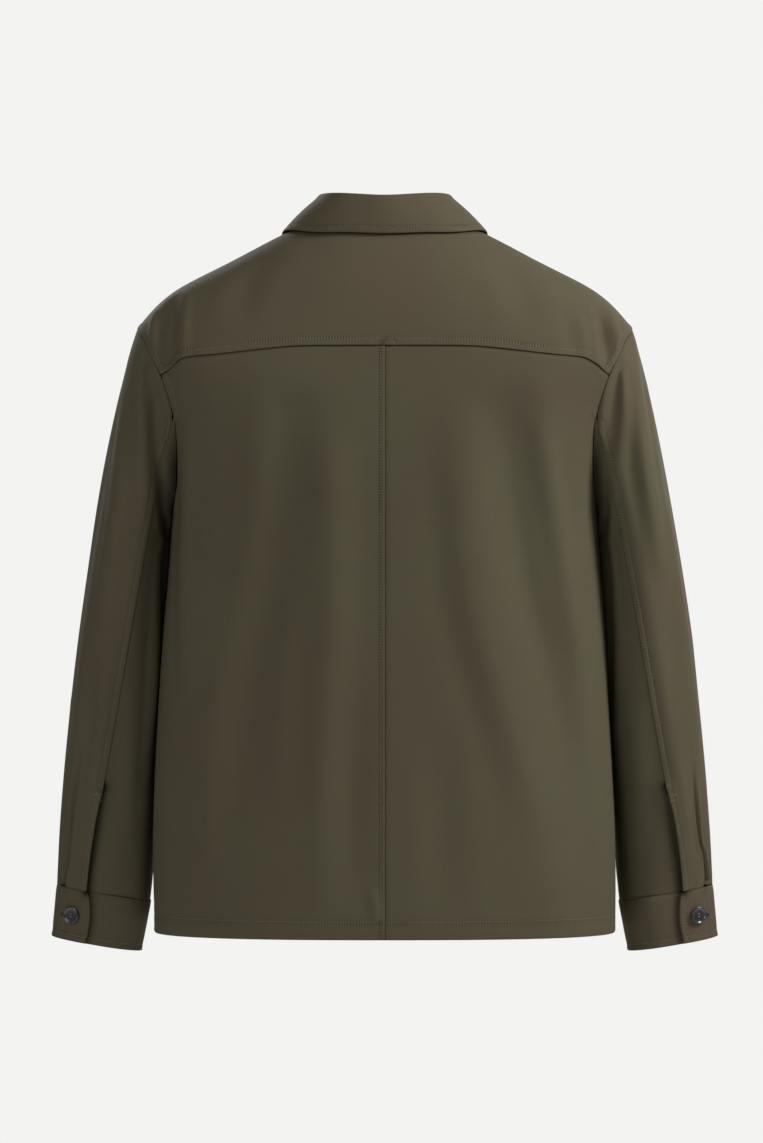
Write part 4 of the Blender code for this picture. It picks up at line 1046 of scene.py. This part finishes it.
def stitch_row(piece, line, inset):
    """A row of stitches on a piece, so far in from its rim."""
    places, ways = [], []
    for place, way, out in zip(line, ways_in(piece, line), ways_out(piece, line)):
        start = Vector(place + way * inset + out * STITCH["looked_for_from"])
        spot, normal, _, distance = cloth_trees[piece].find_nearest(start)
        if distance < STITCH["lost_at"]:
            places.append(tuple(spot))
            ways.append(tuple(normal if normal.dot(Vector(out)) > 0 else -normal))
    spots, forward, outs = walk(np.array(places), np.array(ways), STITCH["pitch"])
    return spots - outs * STITCH["sunk"], forward, outs


sewing_rows = {}
for name, piece, line, insets, *_ in sewn_runs:
    for inset in insets:
        sewing_rows.setdefault("sewing_" + name, []).append(stitch_row(piece, line, inset))
sewing = {name: beads(name, rows) for name, rows in sewing_rows.items()}

# %% [markdown]
# A vent tears at its top unless it is held, so two short bars of dense stitches, a bar-tack, are
# sewn across it there. Dense stitches also bind the two lips of each buttonhole.


# %% Sew dense bars
PROUD = 0.0001


def dense_row(nodes, start, end, pitch, across_by=0.0):
    """Stitches side by side from one place to another, each lying across the row."""
    start, end = np.array(start), np.array(end)
    spots, outs = [], []
    for t in np.linspace(0.0, 1.0, int(np.linalg.norm(end - start) / pitch)):
        place = Vector(start + (end - start) * t)
        hit = min((cloth_trees[node].find_nearest(place) for node in nodes), key=lambda found: found[3])
        spot, out = np.array(hit[0]), np.array(hit[1])
        spots.append(spot)
        outs.append(out if ways_out(nodes[0], spot[None])[0] @ out > 0 else -out)
    spots, outs = np.array(spots), unit(np.array(outs))
    aside = unit(np.cross(outs, unit(np.gradient(spots, axis=0))))
    return spots + aside * across_by + outs * PROUD, aside, outs


BAR_PITCH, BAR_BEAD = 0.00055, (0.62, 0.95, 1.1)
BAR_TACKS = {
    # the two ends of each bar, seen from behind
    "left": (((0.2972, -0.5680), (0.2890, -0.5688)), ((0.2970, -0.5738), (0.2888, -0.5748))),
    "right": (((-0.2985, -0.5684), (-0.2905, -0.5698)), ((-0.2990, -0.5740), (-0.2912, -0.5756))),
}
for side, bars in BAR_TACKS.items():
    sleeve = ("sleeve_top_" + side, "sleeve_under_" + side)
    rows = []
    for bar in bars:
        ends = places_on([cloth_trees[node] for node in sleeve], "behind", bar, 2)
        rows.append(dense_row(sleeve, ends[0], ends[-1], BAR_PITCH))
    sewing["bar_tack_" + side] = beads("bar_tack_" + side, rows, BAR_BEAD)

# %% [markdown]
# ## Twill
#
# The cloth is a fine, firm twill in a dark olive brown, with a soft sheen and hardly any shine.
# Its colour is uneven in two ways: wide, faint clouds, and the fleck of single yarns. The twill
# lines are 0.7 mm apart, run up to the right, and show only close up, as a very low bump.

# %% Materials made of nodes
def node_adder(owner):
    """A function that adds a node to a material or a world: kind, settings, sockets."""
    nodes, links = owner.node_tree.nodes, owner.node_tree.links

    def add(kind, settings, sockets):
        node = nodes.new("ShaderNode" + kind)
        for name, value in settings.items():
            setattr(node, name, value)
        for name, value in sockets.items():
            if isinstance(value, bpy.types.NodeSocket):
                links.new(value, node.inputs[name])
            else:
                node.inputs[name].default_value = value
        return node

    return add


def plain_material(name, colour, roughness, **more):
    material = bpy.data.materials.new(name)
    material.use_nodes = True
    sockets = {"Base Color": colour + (1.0,), "Roughness": roughness, **more}
    for socket, value in sockets.items():
        material.node_tree.nodes["Principled BSDF"].inputs[socket].default_value = value
    return material


thread = plain_material("sewing_thread", (0.118, 0.100, 0.065), 0.7)
print("first material:", thread.name)

# %% A material for the twill
CLOTH_COLOUR = (0.0660, 0.0555, 0.0356)
BROWNER, GREENER = (1.02, 0.87, 0.93), (0.98, 1.13, 1.03)     # the two tones of the faint clouds
FINISH = {"Specular IOR Level": 0.04, "Sheen Weight": 0.010, "Sheen Roughness": 0.45,
          "Sheen Tint": (0.62, 0.58, 0.48, 1.0)}
YARN_FLECK = 0.14
TWILL_LINES = {"slope": 48, "scale": 450.0, "uneven": 0.6, "strength": 0.10, "depth": 0.0002}
# the dents between the stitches: their bump, and how dark their painted shade is
DENT_LOOK = {"strength": 0.6, "depth": 0.00035, "shade": 0.62}
# the colour that the painted shade in the folds darkens the twill towards
PAINTED_FOLD_SHADE = (0.04, 0.038, 0.035, 1.0)


def twill_material(name, colour):
    material = plain_material(name, colour, 0.78, **FINISH)
    add = node_adder(material)
    place = add("TexCoord", {}, {}).outputs["Object"]

    def texture(kind, sockets, **settings):
        return add(kind, settings, {"Vector": place, **sockets})

    def mix(blend, factor, first, second):
        settings = {"data_type": "RGBA", "blend_type": blend}
        return add("Mix", settings, {"Factor": factor, "A": first, "B": second}).outputs["Result"]

    def reckon(operation, first, second=0.5):
        return add("Math", {"operation": operation}, {0: first, 1: second}).outputs["Value"]

    def attribute(called):
        return add("Attribute", {"attribute_name": called}, {}).outputs["Fac"]

    clouds = texture("TexNoise", {"Scale": 6.5, "Detail": 3.0})
    yarns = texture("TexNoise", {"Scale": 620.0, "Detail": 2.0})
    brown, green = (tuple(c * tone for c, tone in zip(colour, tones)) + (1.0,)
                    for tones in (BROWNER, GREENER))
    cloth = mix("MIX", clouds.outputs["Fac"], brown, green)
    cloth = mix("OVERLAY", YARN_FLECK, cloth, yarns.outputs["Color"])

    slope = texture("Mapping", {"Rotation": (0.0, math.radians(TWILL_LINES["slope"]), 0.0)})
    lines = add("TexWave", {"bands_direction": "X"}, {
        "Scale": TWILL_LINES["scale"], "Distortion": TWILL_LINES["uneven"],
        "Vector": slope.outputs["Vector"]})
    weave = add("Bump", {}, {"Strength": TWILL_LINES["strength"], "Distance": TWILL_LINES["depth"],
                             "Height": lines.outputs["Fac"]})

    turns = reckon("MULTIPLY", attribute("stitch_along"), 2.0 * math.pi / STITCH["pitch"])
    dents = reckon("MULTIPLY", reckon("COSINE", turns), attribute("stitch_near"))
    pucker = add("Bump", {}, {"Strength": DENT_LOOK["strength"], "Distance": DENT_LOOK["depth"],
                              "Height": dents, "Normal": weave.outputs["Normal"]})
    # the dents are also painted darker, a painted shade of the pucker between the stitches
    dent_painted_shade = (DENT_LOOK["shade"],) * 3 + (1.0,)
    cloth = mix("MULTIPLY", reckon("MAXIMUM", dents, 0.0), cloth, dent_painted_shade)
    # painted shade: darker in the folds, beside laps, vents and cuff ends, and where sleeve and body touch
    cloth = mix("MULTIPLY", attribute("fold_shade"), cloth, PAINTED_FOLD_SHADE)

    shader, links = material.node_tree.nodes["Principled BSDF"], material.node_tree.links
    links.new(pucker.outputs["Normal"], shader.inputs["Normal"])
    links.new(cloth, shader.inputs["Base Color"])
    return material


twill = twill_material("olive_twill", CLOTH_COLOUR)
print("twill has", len(twill.node_tree.nodes), "nodes")


# %% Dress the pieces in twill and thread
def dress(thing, material, crisp=80):
    """Give a piece its material, and shade it smooth but for edges sharper than crisp degrees."""
    thing.data.materials.clear()
    thing.data.materials.append(material)
    only(thing)
    bpy.ops.object.shade_smooth_by_angle(angle=math.radians(crisp))


for shell in shells.values():
    dress(shell, twill, 48)
for seam in sewing.values():
    dress(seam, thread)

# %% [markdown]
# ## Buttons
#
# The nine buttons are dark, nearly 18 mm wide and sewn through four holes. Each has a raised, glossy
# rim and a matt dish. One button is modelled at the origin, facing up, and copied to the places
# of the plain ones.

# %% Model one button
BUTTON = {"radius": 0.0088, "thick": 0.0026, "rim": 0.0017, "slope": 0.0007, "dish": 0.0010,
          "round": 0.00055, "hole": 0.00085, "hole_from_middle": 0.0019}


def model_button():
    """A disc with a raised rim, a dish and four holes."""
    bpy.ops.object.select_all(action="DESELECT")
    bpy.ops.mesh.primitive_cylinder_add(vertices=48, radius=BUTTON["radius"], depth=BUTTON["thick"],
                                        location=(0, 0, BUTTON["thick"] / 2))
    button = bpy.context.active_object
    button.name = "one_button"
    bpy.ops.object.transform_apply(location=True, rotation=False, scale=False)
    edit_chosen(button, [face.normal.z > 0.9 for face in button.data.polygons], "FACE")
    bpy.ops.mesh.inset(thickness=BUTTON["rim"], depth=0.0)
    bpy.ops.mesh.inset(thickness=BUTTON["slope"], depth=-BUTTON["dish"])
    end_edit()
    apply_modifier(button, "BEVEL", width=BUTTON["round"], segments=3, limit_method="ANGLE",
                   angle_limit=math.radians(35))
    far = BUTTON["hole_from_middle"]
    for quarter in range(4):
        turn = math.radians(45 + 90 * quarter)
        spot = (math.cos(turn) * far, math.sin(turn) * far, 0.001)
        bpy.ops.object.select_all(action="DESELECT")
        bpy.ops.mesh.primitive_cylinder_add(vertices=14, radius=BUTTON["hole"], depth=0.01, location=spot)
        drill = bpy.context.active_object
        apply_modifier(button, "BOOLEAN", operation="DIFFERENCE", object=drill, solver="EXACT")
        bpy.data.objects.remove(drill, do_unlink=True)
    return button


def model_button_thread():
    """Two bars of thread between the holes."""
    parts = []
    reach = BUTTON["hole_from_middle"] * math.cos(math.radians(45))
    half_size = (reach + BUTTON["hole"] * 0.7, 0.00052, 0.00042)
    for side in (-1, 1):
        bpy.ops.object.select_all(action="DESELECT")
        bpy.ops.mesh.primitive_uv_sphere_add(segments=10, ring_count=8, radius=1.0,
                                             location=(0, side * reach, BUTTON["thick"] - BUTTON["dish"]))
        bar = bpy.context.active_object
        bar.scale = half_size
        bpy.ops.object.transform_apply(location=True, rotation=True, scale=True)
        parts.append(bar)
    only(*parts)
    bpy.ops.object.join()
    joined = bpy.context.active_object
    joined.name = "one_button_thread"
    return joined


one_button = model_button()
one_button_thread = model_button_thread()
print("one button has", len(one_button.data.polygons), "faces")


# %% Copy the button to its nine places
FORWARD = np.array([0.0, -1.0, 0.2])    # roughly the way that the front and collar buttons face


def button_place(node):
    """The foot of a plain button's axis on the cloth, and the way that it faces."""
    points = read_points(frame["nodes"][node])
    middle = points.mean(axis=0)
    _, _, axes = np.linalg.svd(points - middle, full_matrices=False)
    facing = axes[2]
    away = ways_out(node, middle[None])[0] if node.startswith("cuff") else FORWARD
    if facing @ away < 0:
        facing = -facing
    depth = (points - middle) @ facing
    return Vector(middle + facing * depth.min()), Vector(facing)


def copy_to(source, name, foot, facing):
    """A copy with its own mesh, standing on foot and turned to face a way."""
    only(source)
    bpy.ops.object.duplicate()
    copy = bpy.context.active_object
    copy.name = copy.data.name = name
    turn = facing.to_track_quat("Z", "Y").to_matrix().to_4x4()
    copy.data.transform(Matrix.Translation(foot) @ turn)
    return copy


button_material = plain_material("horn_button", (0.010, 0.011, 0.014), 0.30,
                                 **{"Coat Weight": 0.8, "Coat Roughness": 0.16})
BUTTON_NODES = sorted(node for node in frame["nodes"] if "button" in node)
buttons, button_threads = {}, {}
for node in BUTTON_NODES:
    foot, facing = button_place(node)
    buttons[node] = copy_to(one_button, node + "_finished", foot, facing)
    button_threads[node] = copy_to(one_button_thread, node + "_thread", foot, facing)
    dress(buttons[node], button_material, 35)
    dress(button_threads[node], thread)
for thing in (one_button, one_button_thread, one_stitch):
    bpy.data.objects.remove(thing, do_unlink=True)
print("buttons:", len(buttons))

# %% [markdown]
# ## Buttonholes
#
# A buttonhole is a slit 20 mm long between two lips of dense stitches. The button sits near one
# end of it, where it has slid as far as it goes: upright holes down the front, level ones on the
# collar stand and round the cuffs, where the slit shows on the outer side of the button. The shade
# in the slit is painted, as a row of near-black beads.

# %% Sew the buttonholes
HOLE = {"length": 0.020, "past_button": 0.0052, "lip": 0.00135, "pitch": 0.00062}
SLIT = {"pitch": 0.0016, "proud": 0.00012}
LIP_BEAD, SLIT_BEAD = (0.85, 1.0, 1.3), (1.0, 2.6, 1.0)
HOLE_WAYS = {"front": (0.0, 0.0, -1.0), "collar": (-1.0, 0.0, 0.0), "cuff": (1.0, -0.35, 0.0)}


def hole_way(node, facing):
    """Which way a buttonhole runs from its button."""
    way = Vector(HOLE_WAYS[node.split("_")[0]])
    if node.endswith("right"):
        way.x = -way.x
    return (way - facing * way.dot(facing)).normalized()


def hole_cloth(node):
    """The piece of cloth that a button's hole is in."""
    kind, side = node.split("_")[0], node.split("_")[-1]
    return {"front": "front_left", "collar": "collar_stand"}.get(kind, "cuff_" + side)


hole_thread = plain_material("buttonhole_thread", (0.040, 0.034, 0.022), 0.7)
# painted shade: the slit is a row of near-black beads, as dark as the shade in the opening
painted_slit_shade_material = plain_material("slit_shade", (0.004, 0.0035, 0.003), 0.9)
buttonholes = []
for node in BUTTON_NODES:
    foot, facing = button_place(node)
    way = hole_way(node, facing)
    start = foot + way * (HOLE["past_button"] - HOLE["length"] / 2)
    end = foot + way * (HOLE["past_button"] + HOLE["length"] / 2)
    cloth = (hole_cloth(node),)
    lips = [dense_row(cloth, start, end, HOLE["pitch"], side * HOLE["lip"]) for side in (-1, 1)]
    # near-black beads along the slit, its painted shade
    spots, _, outs = dense_row(cloth, start, end, SLIT["pitch"])
    slit = (spots + outs * SLIT["proud"], unit(np.gradient(spots, axis=0)), outs)
    for suffix, rows, size, material in (("_hole", lips, LIP_BEAD, hole_thread),
                                         ("_slit", [slit], SLIT_BEAD, painted_slit_shade_material)):
        piece = beads(node + suffix, rows, size)
        dress(piece, material)
        buttonholes.append(piece)

# %% [markdown]
# ## Riding and cloth sizes
#
# Every piece rides on the one body. The size that each cloth piece is cut to before it is sewn is
# listed, and printed beside the area of its cloth.

# %% Flat sizes of the cut pieces, in metres
CUTS = {
    # width, length, and the area where the cut isn't a rectangle
    "yoke": (0.50, 0.24, 0.097), "back": (0.27, 0.61, 0.160), "front": (0.31, 0.72, 0.197),
    "sleeve_top": (0.30, 0.60, 0.130), "sleeve_under": (0.16, 0.50, 0.051),
    "cuff": (0.31, 0.054, None), "collar_stand": (0.43, 0.040, None),
    "collar_leaf": (0.50, 0.075, 0.028),
}


def cut_of(node):
    return CUTS[node.removesuffix("_left").removesuffix("_right")]


def sheet_area(shell):
    return sum(face.area for face in shell.data.polygons) / 2.0


for node, shell in shells.items():
    print(node, "cloth area", round(sheet_area(shell), 4), "cut", cut_of(node))

# %% Ride on the body, and hide the plain parts
pieces = list(sewing.values()) + list(button_threads.values()) + buttonholes
for node, shell in shells.items():
    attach(shell, "root")
    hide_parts(node)
    width, length, area = cut_of(node)
for node, button in buttons.items():
    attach(button, "root")
    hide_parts(node)
for piece in pieces:
    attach(piece, "root")

# %% [markdown]
# ## Studio
#
# A plain pale floor far below, and a pale world. The key light stands close by, at the upper
# right of the picture, so that it grazes the folds. A wide, soft one fills in from the left, behind
# the camera, a weak one lights the shoulders from above, and two light the front.

# %% Floor
FLOOR_LEVEL = -1.45
bpy.ops.object.select_all(action="DESELECT")
bpy.ops.mesh.primitive_circle_add(vertices=96, radius=3.9, fill_type="NGON", location=(0, 0, FLOOR_LEVEL))
floor = bpy.context.active_object
floor.name = "studio_floor"
floor.data.materials.append(plain_material("pale_floor", (0.80, 0.80, 0.79), 0.9))

# %% World
WORLD = {"light": (0.62, 0.63, 0.65, 1.0), "strength": 0.30, "seen": (0.896, 0.896, 0.880, 1.0)}
world = bpy.data.worlds.new("studio_world")
bpy.context.scene.world = world
world.use_nodes = True
world_nodes, world_links = world.node_tree.nodes, world.node_tree.links
background = world_nodes["Background"]
background.inputs["Color"].default_value = WORLD["light"]
background.inputs["Strength"].default_value = WORLD["strength"]
add = node_adder(world)
seen = add("Background", {}, {"Color": WORLD["seen"]})
choice = add("MixShader", {}, {
    "Fac": add("LightPath", {}, {}).outputs["Is Camera Ray"],
    1: background.outputs["Background"], 2: seen.outputs["Background"]})
world_links.new(choice.outputs["Shader"], world_nodes["World Output"].inputs["Surface"])
bpy.context.scene.view_settings.view_transform = "Standard"

# %% Lights
LIGHTS = {
    # name: (place, size, power)
    "key": ((-1.75, 0.66, 0.80), 0.7, 64.0),
    "camera_side": ((2.1, 3.6, 1.0), 2.0, 77.0),
    "top": ((0.0, 0.6, 2.2), 1.4, 12.0),
    "front_key": ((1.4, -3.2, 1.3), 1.0, 78.0),
    "front_fill": ((-1.6, -3.6, 0.6), 2.2, 50.0),
}
AIM = Vector((0.0, 0.0, -0.36))
for name, (place, size, power) in LIGHTS.items():
    lamp_data = bpy.data.lights.new(name, "AREA")
    lamp_data.size = size
    lamp_data.energy = power
    lamp = bpy.data.objects.new(name, lamp_data)
    lamp.location = place
    lamp.rotation_euler = (AIM - Vector(place)).to_track_quat("-Z", "Y").to_euler()
    bpy.context.scene.collection.objects.link(lamp)
print("lights:", ", ".join(LIGHTS))
